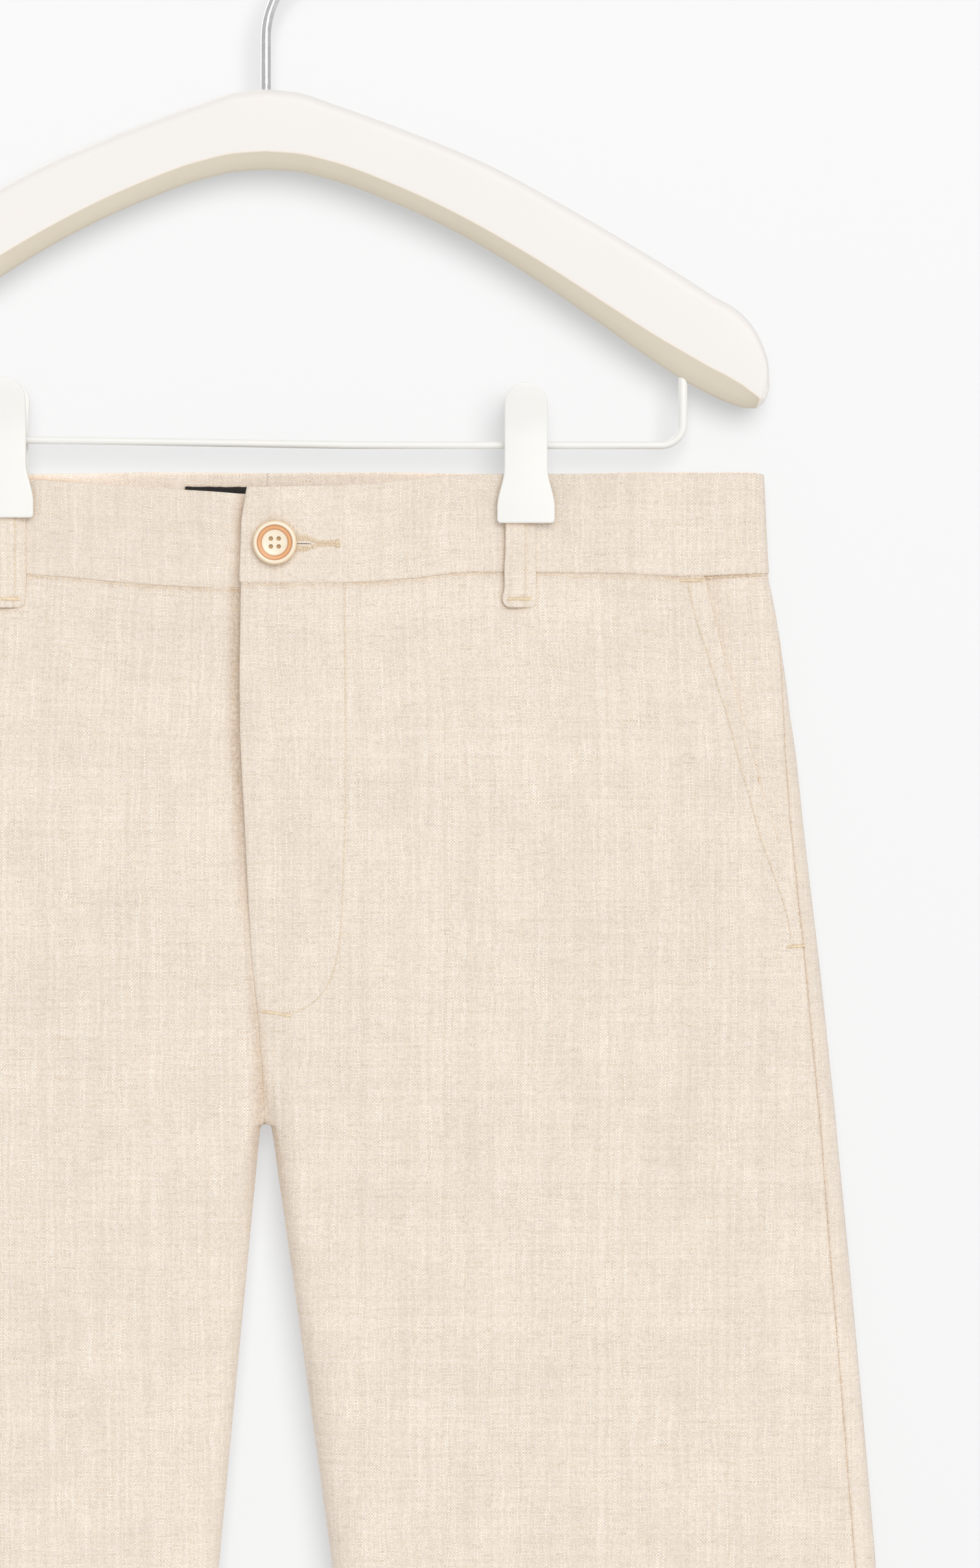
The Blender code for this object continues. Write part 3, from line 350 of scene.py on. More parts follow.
def follow(table, argument, column, at):
    """A smooth curve through one column of a table, with no overshoot between its rows.

    Where argument is None, the table's rows are counted from 0.
    """
    if argument is None:
        xs = np.arange(len(table), dtype=float)
    else:
        xs = np.array([getattr(row, argument) for row in table], float)
    ys = np.array([getattr(row, column) for row in table], float)
    at = np.clip(np.asarray(at, float), xs[0], xs[-1])
    slopes = np.diff(ys) / np.diff(xs)
    tangents = np.zeros(len(xs))
    before, after = slopes[:-1], slopes[1:]
    same_way = before * after > 0
    total = np.where(same_way, before + after, 1.0)
    tangents[1:-1] = np.where(same_way, 2 * before * after / total, 0.0)
    tangents[0], tangents[-1] = slopes[0], slopes[-1]
    index = np.clip(np.searchsorted(xs, at) - 1, 0, len(xs) - 2)
    width = xs[index + 1] - xs[index]
    t = (at - xs[index]) / width
    return (
        ys[index] * (1 + 2 * t) * (1 - t) ** 2
        + ys[index + 1] * (3 - 2 * t) * t**2
        + width * t * (1 - t) * (tangents[index] * (1 - t) - tangents[index + 1] * t)
    )


def level(column, below):
    return follow(LEVELS, "below", column, below)


def hand(side):
    return "left" if side > 0 else "right"


def inner_across(side, below):
    """Distance across of the middle line or, below the crotch, of the leg's inner edge."""
    return side * level(f"{hand(side)}_inner", below)


NOISE_CELLS = 64


def soft_noise(x, z, size, seed):
    """Smooth noise from -1 to 1 that changes over about size millimetres."""
    cells = np.random.default_rng(seed).uniform(-1.0, 1.0, (NOISE_CELLS, NOISE_CELLS))
    x, z = np.broadcast_arrays(np.asarray(x, float) / size, np.asarray(z, float) / size)
    column, row = np.floor(x).astype(int), np.floor(z).astype(int)
    s, t = ease(x - column), ease(z - row)

    def corner(right, down):
        return cells[(column + right) % NOISE_CELLS, (row + down) % NOISE_CELLS]

    upper = corner(0, 0) * (1 - s) + corner(1, 0) * s
    lower = corner(0, 1) * (1 - s) + corner(1, 1) * s
    return upper * (1 - t) + lower * t


def smooth_line(points, step):
    """Points every step or so on a smooth curve through a table of x and below."""
    points = np.array(points, float)
    spans = np.hypot(*np.diff(points, axis=0).T)
    lengths = np.concatenate([[0.0], np.cumsum(spans)])
    Row = namedtuple("Row", "at x below")
    table = [Row(a, x, below) for a, (x, below) in zip(lengths, points)]
    at = np.linspace(0.0, lengths[-1], max(2, int(lengths[-1] / step) + 1))
    return np.stack([follow(table, "at", "x", at), follow(table, "at", "below", at)], axis=-1)


def line_distance(x, below, line):
    """Distance of each point from a line of points."""
    best = np.full(np.shape(x), 1e3)
    for (x0, b0), (x1, b1) in zip(line[:-1], line[1:]):
        dx, db = x1 - x0, b1 - b0
        t = np.clip(((x - x0) * dx + (below - b0) * db) / (dx * dx + db * db), 0.0, 1.0)
        best = np.minimum(best, np.hypot(x - x0 - t * dx, below - b0 - t * db))
    return best


# ---- The garment's surface ----


def waist_out(across, bow):
    """How far the waist stands out from the hanging plane, at a distance across from the middle."""
    across = np.abs(across)
    pinch_start = CLIP_ACROSS - PINCH_HALF_WIDTH
    pinch_end = CLIP_ACROSS + PINCH_HALF_WIDTH
    middle = (bow - PINCH_OUT) * np.cos(np.pi / 2 * np.clip(across / pinch_start, 0, 1)) ** 2
    side = (SIDE_OUT - PINCH_OUT) * ease((across - pinch_end) / SIDE_RISE)
    return PINCH_OUT + middle + side


def fold_depth(x, below, face, folds=FOLDS):
    """How far the folds of one face sink its cloth."""
    sunk = np.zeros(np.broadcast(x, below).shape)
    for fold in folds:
        if fold.face != face:
            continue
        t = (below - fold.below_top) / (fold.below_end - fold.below_top)
        middle = fold.x_top + (fold.x_end - fold.x_top) * t
        strength = np.where((t > 0) & (t < 1), np.sin(np.pi * np.clip(t, 0, 1)) ** 0.7, 0.0)
        sunk = sunk + fold.sunk * strength * np.exp(-(((x - middle) / fold.reach) ** 2))
    return sunk


def surface_out(side, across, below, face):
    """Distance of the cloth's outer face from the hanging plane, on one side of the garment.

    side is +1 for the wearer's left and -1 for the right, and across = side * x.
    """
    edge = level("side", below)
    inner = inner_across(side, below) + GAP / 2
    parting = np.interp(below, PARTING, inner_across(side, np.array(PARTING)))
    inside = (np.asarray(below) > PARTING[0]) & (np.asarray(below) < PARTING[1])
    middle = np.where(inside, parting + GAP / 2, inner)
    valley = level("valley", below)
    pinched = 1.0 - ease((below - BOW_FADE[0]) / (BOW_FADE[1] - BOW_FADE[0]))
    bow = FRONT_BOW if face == "front" else BACK_BOW
    out = pinched * waist_out(across, bow) + (1.0 - pinched) * level("out", below)
    round_reach = pinched * FOLD_ROUND[0] + (1.0 - pinched) * FOLD_ROUND[1]
    to_edge = np.clip((edge - across) / round_reach, 0.0, 1.0)
    out = out * np.sqrt(1.0 - (1.0 - to_edge) ** 2)
    leg = ease((below - VALLEY_LEVELS[0]) / (VALLEY_LEVELS[1] - VALLEY_LEVELS[0]))
    reach = VALLEY_REACH[0] * (1.0 - leg) + VALLEY_REACH[1] * leg
    to_inner = np.clip((across - middle) / reach, 0.0, 1.0)
    out = out * np.sqrt(valley**2 + (1.0 - valley**2) * (1.0 - (1.0 - to_inner) ** 2))
    turned = np.clip((below - CROTCH + CROTCH_ROUND) / CROTCH_ROUND, 0.0, 1.0)
    as_leg = ease((below - LEG_ROUND_LEVELS[0]) / (LEG_ROUND_LEVELS[1] - LEG_ROUND_LEVELS[0]))
    round_off = LEG_ROUND[0] * (1.0 - as_leg) + LEG_ROUND[1] * as_leg
    to_end = np.clip((across - inner) / round_off, 0.0, 1.0)
    end_round = np.sqrt(1.0 - (1.0 - to_end) ** 2)
    out = out * (end_round + (1.0 - end_round) * np.sqrt(1.0 - turned**2))
    flat_zone = ease(np.minimum(to_edge, np.maximum(to_inner, valley)))
    sunk = fold_depth(side * across, below, face) - relief(side * across, below, face)
    return out - sunk * flat_zone


def lap_recess(across, edge, step, hollow=HOLLOW_DEPTH):
    """How far the cloth beside and under a lapping edge lies back, with a hollow at the edge."""
    ramp = step * (1.0 - ease((across - edge - 1.0) / RECESS_RAMP))
    return ramp + hollow * np.exp(-(((across - edge - HOLLOW_AT) / HOLLOW_REACH) ** 2))


def fly_recess(across, below, step):
    """How far the right side of the fly is set back, so that the left side can lie over it."""
    along = 1.0 - ease((below - RECESS_FADE[0]) / RECESS_FADE[1])
    along = along * (1.0 - RECESS_THINS[2] * ease((below - RECESS_THINS[0]) / RECESS_THINS[1]))
    hollow = HOLLOW_DEPTH * (1.0 - ease((below - HOLLOW_FADE[0]) / HOLLOW_FADE[1]))
    return lap_recess(across, -level("right_inner", below), step * along, hollow)


def front_sag(side, across, below):
    """How far the front hangs lower than the back at the same level."""
    seam = follow(WAIST, "across", f"seam_{hand(side)}", across)
    return (seam - SEAM_LEVEL) * (1.0 - ease((below - SEAM_LEVEL) / (SAG_FADE - SEAM_LEVEL)))


def inner_edge(side, below):
    """Distance across of the fly edge, the centre seam or the leg's inner edge."""
    return float(inner_across(side, below)) + GAP / 2


def back_end(side, below):
    """Where a back ends: at the middle up the seat, and lower down at the leg's inner edge."""
    down = float(ease((below - VALLEY_LEVELS[0]) / (CROTCH - VALLEY_LEVELS[0])))
    apart = float(ease((below - CROTCH) / 2.0))
    closed = (inner_edge(side, below) - GAP / 2) * down - SEAM_CLOSE
    return closed + (GAP / 2 + SEAM_CLOSE) * apart


def side_seam(below):
    return float(level("side", below) - level("seam_inset", below))


def front_edge(below):
    """Outer edge of the front panel: the pocket opening, then the side seam."""
    seam = side_seam(below)
    if below >= POCKET_END:
        return seam
    return min(float(follow(POCKET_EDGE, "below", "across", below)), seam)


def flap_edge(below):
    belows, xs = zip(*FLAP_EDGE)
    return float(np.interp(below, belows, xs))


# ---- Fine relief of the cloth ----


def on_panel(points):
    """Takes places as they hang on the left front to where they are in the cut panel."""
    points = np.array(points, float)
    x, hanging = points[:, 0], points[:, 1]
    below = hanging - GAP
    for _ in range(4):
        below = hanging - GAP - front_sag(1, x, below)
    return np.stack([x, below], axis=-1)


FLY_CURVE = on_panel(smooth_line(FLY_LINE, 2.0))
POCKET_CURVE = on_panel(smooth_line(POCKET_LINE, 2.0))
# Their grooves go on under the low bartacks to the edges of the cloth.
FLY_GROOVE = np.concatenate([FLY_CURVE, on_panel(FLY_GROOVE_END)])
POCKET_GROOVE = np.concatenate([POCKET_CURVE, on_panel(POCKET_GROOVE_END)])


# Waves of the cloth: height, size across it, that size as a part of the size down it, and where.
Wave = namedtuple("Wave", "height size squeeze where")
WAVES = (
    Wave(0.26, 36.0, 0.55, "body"),
    Wave(0.13, 15.0, 0.7, "body"),
    Wave(0.045, 6.5, 1.0, "everywhere"),
    Wave(0.16, 8.0, 0.35, "waist"),
    Wave(0.12, 9.0, 0.3, "hem"),
)
WAVE_SEED = {"front": 10, "back": 40}
BODY_WAVES = (30.0, 30.0)  # below, over: where they begin
WAIST_WAVES = (3.0, 7.0)  # how far below the waist seam they are strongest, and their reach
HEM_WAVES = 6.0  # their reach from the hem's stitches


def relief(x, below, face):
    """Small unevenness of the cloth, outwards, over the form of the solids."""
    x, below = np.broadcast_arrays(np.asarray(x, float), np.asarray(below, float))
    strength = {
        "body": ease((below - BODY_WAVES[0]) / BODY_WAVES[1]),
        "everywhere": 1.0,
        "waist": np.exp(-np.abs(below - SEAM_LEVEL - WAIST_WAVES[0]) / WAIST_WAVES[1]),
        "hem": np.exp(-np.abs(below - HEM_LEVEL) / HEM_WAVES),
    }
    raised = -fold_depth(x, below, face, CREASES)
    for index, wave in enumerate(WAVES):
        noise = soft_noise(x, below * wave.squeeze, wave.size, WAVE_SEED[face] + index)
        raised = raised + strength[wave.where] * wave.height * noise
    return raised


# The cloth over a sewn facing: how far it is raised and over what distance, and the reach, size
# and seed of the puckers beside its line.
Facing = namedtuple("Facing", "rise over reach size seed")
POCKET_FACING = Facing(0.18, 1.6, 3.0, 5.0, 61)
FLY_FACING = Facing(0.25, 1.8, 3.5, 5.5, 62)
PUCKER = 0.10


def facing_relief(x, below, curve, towards, facing):
    """What a facing raises on its side of a sewn line (towards = 1 for larger x), and its puckers."""
    away = line_distance(x, below, curve)
    beyond = towards * (x - np.interp(below, curve[:, 1], curve[:, 0])) > 0
    covered = (below < curve[-1, 1]) & beyond
    raised = facing.rise * np.where(covered, ease(away / facing.over), 0.0)
    return raised, PUCKER * np.exp(-((away / facing.reach) ** 2))


def sewn_relief(side, x, below):
    """What the facings under a front raise, with the puckers along its sewn lines."""
    lines = [(np.abs(x), POCKET_CURVE, 1.0, POCKET_FACING)]
    if side > 0:
        lines.append((x, FLY_CURVE, -1.0, FLY_FACING))
    total = 0.0
    for at, curve, towards, facing in lines:
        raised, pucker = facing_relief(at, below, curve, towards, facing)
        total = total + raised + pucker * soft_noise(x, below, facing.size, facing.seed)
    return total


# ---- Rings and walls ----

# Half of the garment at one level, from the front's inner edge round the side fold and
# over the back: places across and y, the length along it, and the direction into the cloth.
Ring = namedtuple("Ring", "across y length inward_across inward_y")


def ring(side, below, start, set_back=None):
    """The ring from across = start. set_back gives how far a piece lies behind the surface."""
    edge = float(level("side", below))
    inner = inner_edge(side, below)
    steps = (1.0 - np.cos(np.pi * np.linspace(0.0, 1.0, RING_SAMPLES))) / 2.0
    front = start + (edge - start) * steps
    # Past the middle a piece follows the other side's surface.
    beyond = front < min(inner, 0.0) if side > 0 else front < inner
    out = np.where(
        beyond,
        surface_out(-side, -front, below, "front"),
        surface_out(side, front, below, "front"),
    )
    if set_back is not None:
        out = out - set_back(front, below)
    end = back_end(side, below)
    back = (end + (edge - end) * steps)[::-1][1:]
    back_out = surface_out(side, back, below, "back")
    across = np.concatenate([front, back])
    y = np.concatenate([-out, back_out])
    length = np.concatenate([[0.0], np.cumsum(np.hypot(np.diff(across), np.diff(y)))])
    along = np.gradient(across, length)
    through = np.gradient(y, length)
    size = np.hypot(along, through)
    return Ring(across, y, length, -through / size, along / size)


def length_at(line, across):
    """Length along a ring's front at a distance across."""
    front = slice(0, RING_SAMPLES)
    return float(np.interp(across, line.across[front], line.length[front]))


def stops(begin, end, step):
    """Places from begin to end about step apart, with close ones at both ends."""
    near = np.array(EDGE_STEPS)
    count = max(2, int(round((end - begin - 2 * near[-1]) / step)) + 1)
    middle = np.linspace(begin + near[-1], end - near[-1], count)
    return np.concatenate([begin + near[:-1], middle, (end - near[:-1])[::-1]])


def even_stops(begin, end, count):
    """A given number of places from begin to end, with close ones at both ends."""
    near = np.array(EDGE_STEPS) * min(1.0, (end - begin) / (4.0 * EDGE_STEPS[-1]))
    middle = np.linspace(begin + near[-1], end - near[-1], count - 2 * len(near) + 2)
    return np.concatenate([begin + near[:-1], middle, (end - near[:-1])[::-1]])


def edge_roll(to_edges, thickness):
    """How far both faces of a wall turn in towards its middle near its edges."""
    away = sum(np.clip(1.0 - d / EDGE_ROLL, 0.0, 1.0) ** 2 for d in to_edges)
    return ROLL_DEPTH * thickness * (1.0 - np.sqrt(1.0 - np.clip(away, 0.0, 1.0)))


def add_mesh(name, points, faces, material, smooth_angle=50.0, **attributes):
    """A mesh piece from points in millimetres, which rides on the only body."""
    mesh = bpy.data.meshes.new(name)
    mesh.from_pydata((np.asarray(points, float) * METRES).tolist(), [], faces)
    for key, values in attributes.items():
        values = np.asarray(values, float)
        kind = "FLOAT_VECTOR" if values.ndim == 2 else "FLOAT"
        made = mesh.attributes.new(key, kind, "POINT")
        made.data.foreach_set("vector" if values.ndim == 2 else "value", values.ravel())
    mesh.shade_smooth()
    if smooth_angle:
        mesh.set_sharp_from_angle(angle=np.radians(smooth_angle))
    mesh.materials.append(material)
    piece = bpy.data.objects.new(name, mesh)
    bpy.context.scene.collection.objects.link(piece)
    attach(piece, "root")
    return piece


def grid_faces(rows, columns, first, flip):
    corner = first + (np.arange(rows - 1)[:, None] * columns + np.arange(columns - 1)).ravel()
    quads = np.stack([corner, corner + 1, corner + columns + 1, corner + columns], axis=-1)
    return (quads[:, ::-1] if flip else quads).tolist()


def add_wall(name, outer, inner, weave, sewn, shaded, material, flip, inside):
    """A closed wall between two grids of points. weave places each point in the cloth.

    shaded is painted shade on the outer face, towards SEAM_SHADE_TINT, and a negative value is painted
    light on it. inside is the same for all of the inner face.
    """
    rows, columns = outer.shape[:2]
    second = rows * columns
    faces = grid_faces(rows, columns, 0, flip) + grid_faces(rows, columns, second, not flip)
    rim = list(range(columns))
    rim += [r * columns + columns - 1 for r in range(1, rows)]
    rim += [(rows - 1) * columns + c for c in range(columns - 2, -1, -1)]
    rim += [r * columns for r in range(rows - 2, 0, -1)]
    for here, there in zip(rim, rim[1:] + rim[:1]):
        quad = (there, here, here + second, there + second)
        faces.append(quad[::-1] if flip else quad)
    points = np.concatenate([outer.reshape(-1, 3), inner.reshape(-1, 3)])
    weave = np.tile(weave.reshape(-1, 3), (2, 1))
    sewn = np.concatenate([sewn.ravel(), np.full(second, NO_SEAM)])
    shaded = np.concatenate([shaded.ravel(), np.full(second, inside)])
    return add_mesh(name, points, faces, material, None, weave=weave, sewn=sewn, shaded=shaded)


def sheet_size(outer):
    """Width, length and area of a grid of points in millimetres, as the flat cut of the cloth."""
    along = np.linalg.norm(np.diff(outer, axis=1), axis=-1).sum(axis=1)
    down = np.linalg.norm(np.diff(outer, axis=0), axis=-1).sum(axis=0)
    a, b = outer[:-1, :-1] - outer[1:, 1:], outer[:-1, 1:] - outer[1:, :-1]
    area = np.linalg.norm(np.cross(a, b), axis=-1).sum() / 2
    return float(along.max()), float(down.max()), float(area)


class Cloth:
    """A wall of cloth that is made row by row, down from its top."""

    def __init__(self):
        self.outer, self.inner, self.weave, self.shaded = [], [], [], []

    def row(self, outer, inner, along, below, seed, shade=0.0):
        """Adds a row of points. along and below place it in the weave, and seed sets cloths apart."""
        count = len(outer)
        self.outer.append(outer)
        self.inner.append(inner)
        self.weave.append(np.stack(np.broadcast_arrays(along, below, float(seed)), axis=-1))
        self.shaded.append(np.broadcast_to(shade, count))

    def piece(self, name, node, rests_on, material=None, slot="linen", sewn_of=None, flip=False,
              inside=0.0):
        """Makes the piece, which replaces a node. sewn_of gives distances from its seams."""
        grids = [np.array(rows, float) for rows in (self.outer, self.inner, self.weave, self.shaded)]
        outer, inner, weave, shaded = grids
        sewn = sewn_of(outer, weave) if sewn_of else np.full(outer.shape[:2], NO_SEAM)
        made = add_wall(name, outer, inner, weave, sewn, shaded, material or LINEN, flip, inside)
        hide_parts(node)
        width, length, area = sheet_size(outer)
        flat = (round(width * METRES, 4), round(length * METRES, 4))
        area = min(round(area * METRES**2, 5), flat[0] * flat[1])


def wall_row(side, line, at, thickness, roll, depth_of, sunk=0.0):
    """One row of a wall's outer and inner points, at lengths along a ring."""
    across, y, inward_across, inward_y = (
        np.interp(at, line.length, values)
        for values in (line.across, line.y, line.inward_across, line.inward_y)
    )
    size = np.hypot(inward_across, inward_y)
    z = -WAIST_DROP - depth_of(across, y)
    surface = np.stack([side * across, y, z], axis=-1)
    inward = np.stack([side * inward_across / size, inward_y / size, np.zeros(len(at))], axis=-1)
    outer = surface + (roll + sunk)[:, None] * inward
    inner = surface + (thickness - roll + sunk)[:, None] * inward
    return outer, inner


def panel_depth(side, below):
    """depth_of for a body panel: the front sags with the waist, and the back hangs level."""

    def depth_of(across, y):
        return below + GAP + np.where(y < 0, front_sag(side, across, below), 0.0)

    return depth_of


def under_band(below):
    """How far a panel lies back from the waistband where it comes out from under it."""
    return BAND_PROUD * float(1.0 - ease((below - SEAM_LEVEL) / BAND_PROUD_FADE))


def centre_start(side, below):
    """Where a front begins: at its free fly edge, and lower down closed against the other side."""
    meeting = ease((below - FLY_CLOSED[0]) / FLY_CLOSED[1])
    closed = float(meeting * (1.0 - ease((below - CROTCH) / 2.0)))
    return inner_edge(side, below) - closed * (GAP / 2 + SEAM_CLOSE)


def lap_shade(beside, below):
    """Painted shade on the right side beside the left side's edge, strong at the top and thin lower down.
    """
    fading = 1.0 - ease((below - LAP_SHADE_FADE[0]) / LAP_SHADE_FADE[1])
    reach = LAP_SHADE_REACH[0] + (LAP_SHADE_REACH[1] - LAP_SHADE_REACH[0]) * fading
    strength = LAP_SHADE[0] + (LAP_SHADE[1] - LAP_SHADE[0]) * fading
    return strength * np.exp(-(((beside - HOLLOW_AT) / reach) ** 2)) * (below < CROTCH)


def panel_shade(side, across, below, on_front, from_end):
    """Painted shade on a body panel along its seams. from_end is the distance from its sewn side edge."""
    shade = np.zeros(len(across))
    if on_front:
        inner = inner_edge(side, below)
        if side < 0:
            shade = lap_shade(across - inner, below)
        begin, fade = (float(ease((below - at) / over)) for at, over in MIDDLE_SHADE_LEVELS)
        strength, reach = MIDDLE_SHADE
        shade = shade + strength * begin * (1.0 - fade) * np.exp(-(((across - inner) / reach) ** 2))
    rough = 0.75 + 0.25 * float(soft_noise(below, side, 1.7, 91))
    shade = shade + rough * SEAM_SHADE * np.exp(-((from_end / SEAM_SHADE_REACH) ** 2))
    waist = 0.6 + 0.4 * soft_noise(across, side, 3.0, 92)
    return shade + waist * SEAM_SHADE * np.exp(-(((below - SEAM_LEVEL) / WAIST_SHADE_REACH) ** 2))


def cloth_at(below):
    """Thickness of a body panel, which is thicker below the hem's stitches."""
    return CLOTH + HEM_EXTRA * float(ease((below - HEM_LEVEL) / 1.5))


# ---- Material graphs ----


class Graph:
    """A material's node tree, with short calls for the nodes used here."""

    def __init__(self, name):
        self.material = bpy.data.materials.new(name)
        self.material.use_nodes = True
        self.nodes = self.material.node_tree.nodes
        self.links = self.material.node_tree.links
        self.shader = self.nodes["Principled BSDF"]

    def add(self, kind, **settings):
        made = self.nodes.new(kind)
        for key, value in settings.items():
            setattr(made, key, value)
        return made

    def put(self, socket, value):
        if isinstance(value, bpy.types.NodeSocket):
            self.links.new(value, socket)
        elif value is not None:
            socket.default_value = value

    def math(self, operation, a, b=None, c=None):
        made = self.add("ShaderNodeMath", operation=operation)
        for socket, value in zip(made.inputs, (a, b, c)):
            self.put(socket, value)
        return made.outputs[0]

    def mix(self, factor, a, b, blend="MIX"):
        """Mixes two colours."""
        made = self.add("ShaderNodeMix", data_type="RGBA", blend_type=blend)
        self.put(made.inputs["Factor"], factor)
        self.put(made.inputs[6], a)
        self.put(made.inputs[7], b)
        return made.outputs[2]

    def times(self, a, b):
        return self.math("MULTIPLY", a, b)

    def plus(self, a, b):
        return self.math("ADD", a, b)

    def minus(self, a, b):
        return self.math("SUBTRACT", a, b)

    def over(self, a, b):
        return self.math("DIVIDE", a, b)

    def tint(self, colour, by):
        """Multiplies a colour by another."""
        return self.mix(1.0, colour, by, "MULTIPLY")

    def dim(self, colour, tone):
        """Multiplies a colour by a number."""
        return self.tint(colour, self.vector(tone, tone, tone))

    def place(self):
        return self.add("ShaderNodeTexCoord").outputs["Object"]

    def attribute(self, name, output="Fac"):
        return self.add("ShaderNodeAttribute", attribute_name=name).outputs[output]

    def split(self, vector):
        made = self.add("ShaderNodeSeparateXYZ")
        self.put(made.inputs[0], vector)
        return made.outputs

    def vector(self, x, y, z=0.0):
        made = self.add("ShaderNodeCombineXYZ")
        for socket, value in zip(made.inputs, (x, y, z)):
            self.put(socket, value)
        return made.outputs[0]

    def noise(self, vector, scale=1.0, detail=2.0, roughness=0.5):
        made = self.add("ShaderNodeTexNoise")
        self.put(made.inputs["Vector"], vector)
        made.inputs["Scale"].default_value = scale
        made.inputs["Detail"].default_value = detail
        made.inputs["Roughness"].default_value = roughness
        return made.outputs["Fac"]

    def white(self, vector):
        made = self.add("ShaderNodeTexWhiteNoise", noise_dimensions="3D")
        self.put(made.inputs["Vector"], vector)
        return made.outputs["Value"]

    def spread(self, value, low, high, to_low=0.0, to_high=1.0, smooth=True):
        """Maps low to high onto to_low to to_high, and holds outside."""
        kind = "SMOOTHSTEP" if smooth else "LINEAR"
        made = self.add("ShaderNodeMapRange", interpolation_type=kind)
        for socket, number in zip(made.inputs, (value, low, high, to_low, to_high)):
            self.put(socket, number)
        return made.outputs[0]

    def between(self, value, rise, fall):
        """1 from the end of one ramp to the start of another, and 0 outside both."""
        return self.times(self.spread(value, *rise), self.spread(value, *fall, 1.0, 0.0))

    def bump(self, height, distance, strength=1.0):
        made = self.add("ShaderNodeBump")
        made.inputs["Strength"].default_value = strength
        made.inputs["Distance"].default_value = distance
        self.put(made.inputs["Height"], height)
        self.put(self.shader.inputs["Normal"], made.outputs[0])

    def finish(self, colour=None, **sockets):
        if colour is not None:
            self.put(self.shader.inputs["Base Color"], colour)
        for key, value in sockets.items():
            self.put(self.shader.inputs[key.replace("_", " ")], value)
        return self.material


def grey(value):
    return (value, value, value, 1.0)


WHITE = grey(1.0)

YARN = 0.62  # from one yarn to the next
YARN_SWAY = 3.0
WARP_PALE = (0.932, 0.862, 0.803, 1.0)
WARP_BEIGE = (0.725, 0.632, 0.540, 1.0)
WEFT_CREAM = (0.872, 0.789, 0.706, 1.0)
WEFT_TAN = (0.687, 0.572, 0.455, 1.0)
CROSSING_TONE = (1.045, 0.90)
CLOUD_TONE = (0.98, 1.045)
FLECK_TONE = (0.97, 1.03)
PIT_SHADE_TINT = (0.84, 0.79, 0.735, 1.0)
YELLOWED = (1.022, 1.0, 0.94, 1.0)
GREYED = (0.988, 0.999, 1.016, 1.0)
# The colour that painted shade along seams and edges tints the cloth towards.
SEAM_SHADE_TINT = (0.66, 0.50, 0.35, 1.0)
SHADE_ROUGH = 0.62  # scale of the noise that makes the seams' tint uneven, per millimetre
GROOVE = (0.12, 0.65)  # distances from a sewn line where its groove begins to rise and ends
GROOVE_SHADE_TINT = (0.955, 0.93, 0.895, 1.0)
# Painted light that lifts the shaded inside of the waistband.
INSIDE_PAINTED_LIGHT = (1.185, 1.18, 1.19, 1.0)
AO_HOLLOW_SHADE_TINT = (0.86, 0.76, 0.64, 1.0)
AO_HOLLOW_SHADE_REACH = 3.0
LINEN_ROUGH = 0.85


def yarn_grid(g, u, v, seed):
    """The yarns' numbers at a point, where the warp lies over the weft, and the cloth's height."""

    def sway(place):
        return g.times(g.minus(g.noise(place), 0.5), YARN_SWAY)

    def rounded(yarns):
        return g.math("COSINE", g.times(g.minus(g.math("FRACT", yarns), 0.5), np.pi))

    sway_u = sway(g.vector(g.over(u, 15.0), g.over(v, 15.0), seed))
    sway_v = sway(g.vector(g.over(v, 13.0), g.over(u, 17.0), g.plus(seed, 20.0)))
    yarns_u = g.over(g.plus(u, sway_u), YARN)
    yarns_v = g.over(g.plus(v, sway_v), YARN)
    warp, weft = g.math("FLOOR", yarns_u), g.math("FLOOR", yarns_v)
    warp_over = g.math("PINGPONG", g.plus(warp, weft), 1.0)
    round_u, round_v = rounded(yarns_u), rounded(yarns_v)
    warp_dome = g.times(round_u, g.math("MULTIPLY_ADD", round_v, 0.55, 0.45))
    weft_dome = g.times(round_v, g.math("MULTIPLY_ADD", round_u, 0.55, 0.45))
    weft_dome = g.times(weft_dome, g.minus(1.0, warp_over))
    return warp, weft, warp_over, g.math("MULTIPLY_ADD", warp_dome, warp_over, weft_dome)


def yarn_colour(g, u, v, seed, warp, weft, warp_over):
    """The yarns' colour and the warp's slubs. Each yarn has its own tone, which drifts along it."""
    warp_own = g.white(g.vector(warp, seed, 1.0))
    weft_own = g.white(g.vector(weft, seed, 2.0))
    warp_drift = g.noise(g.vector(g.times(warp, 0.43), g.over(v, 26.0), seed))
    weft_drift = g.noise(g.vector(g.over(u, 17.0), g.times(weft, 0.47), seed))
    warp_slub = g.noise(g.vector(g.times(warp, 0.71), g.over(v, 34.0), 7.3), 1.0, 1.0)
    weft_slub = g.noise(g.vector(g.over(u, 9.0), g.times(weft, 0.77), 3.1), 1.0, 1.5)
    warp_slub = g.spread(warp_slub, 0.60, 0.72)
    weft_slub = g.spread(weft_slub, 0.62, 0.74)
    warp_tone = g.plus(g.times(warp_own, 0.5), g.times(warp_drift, 0.6))
    weft_tone = g.plus(g.times(weft_own, 0.35), g.times(weft_drift, 0.75))
    warp_colour = g.mix(g.plus(warp_tone, g.times(warp_slub, 0.6)), WARP_BEIGE, WARP_PALE)
    weft_colour = g.mix(g.minus(weft_tone, g.times(weft_slub, 0.8)), WEFT_TAN, WEFT_CREAM)
    return g.mix(warp_over, weft_colour, warp_colour), warp_slub


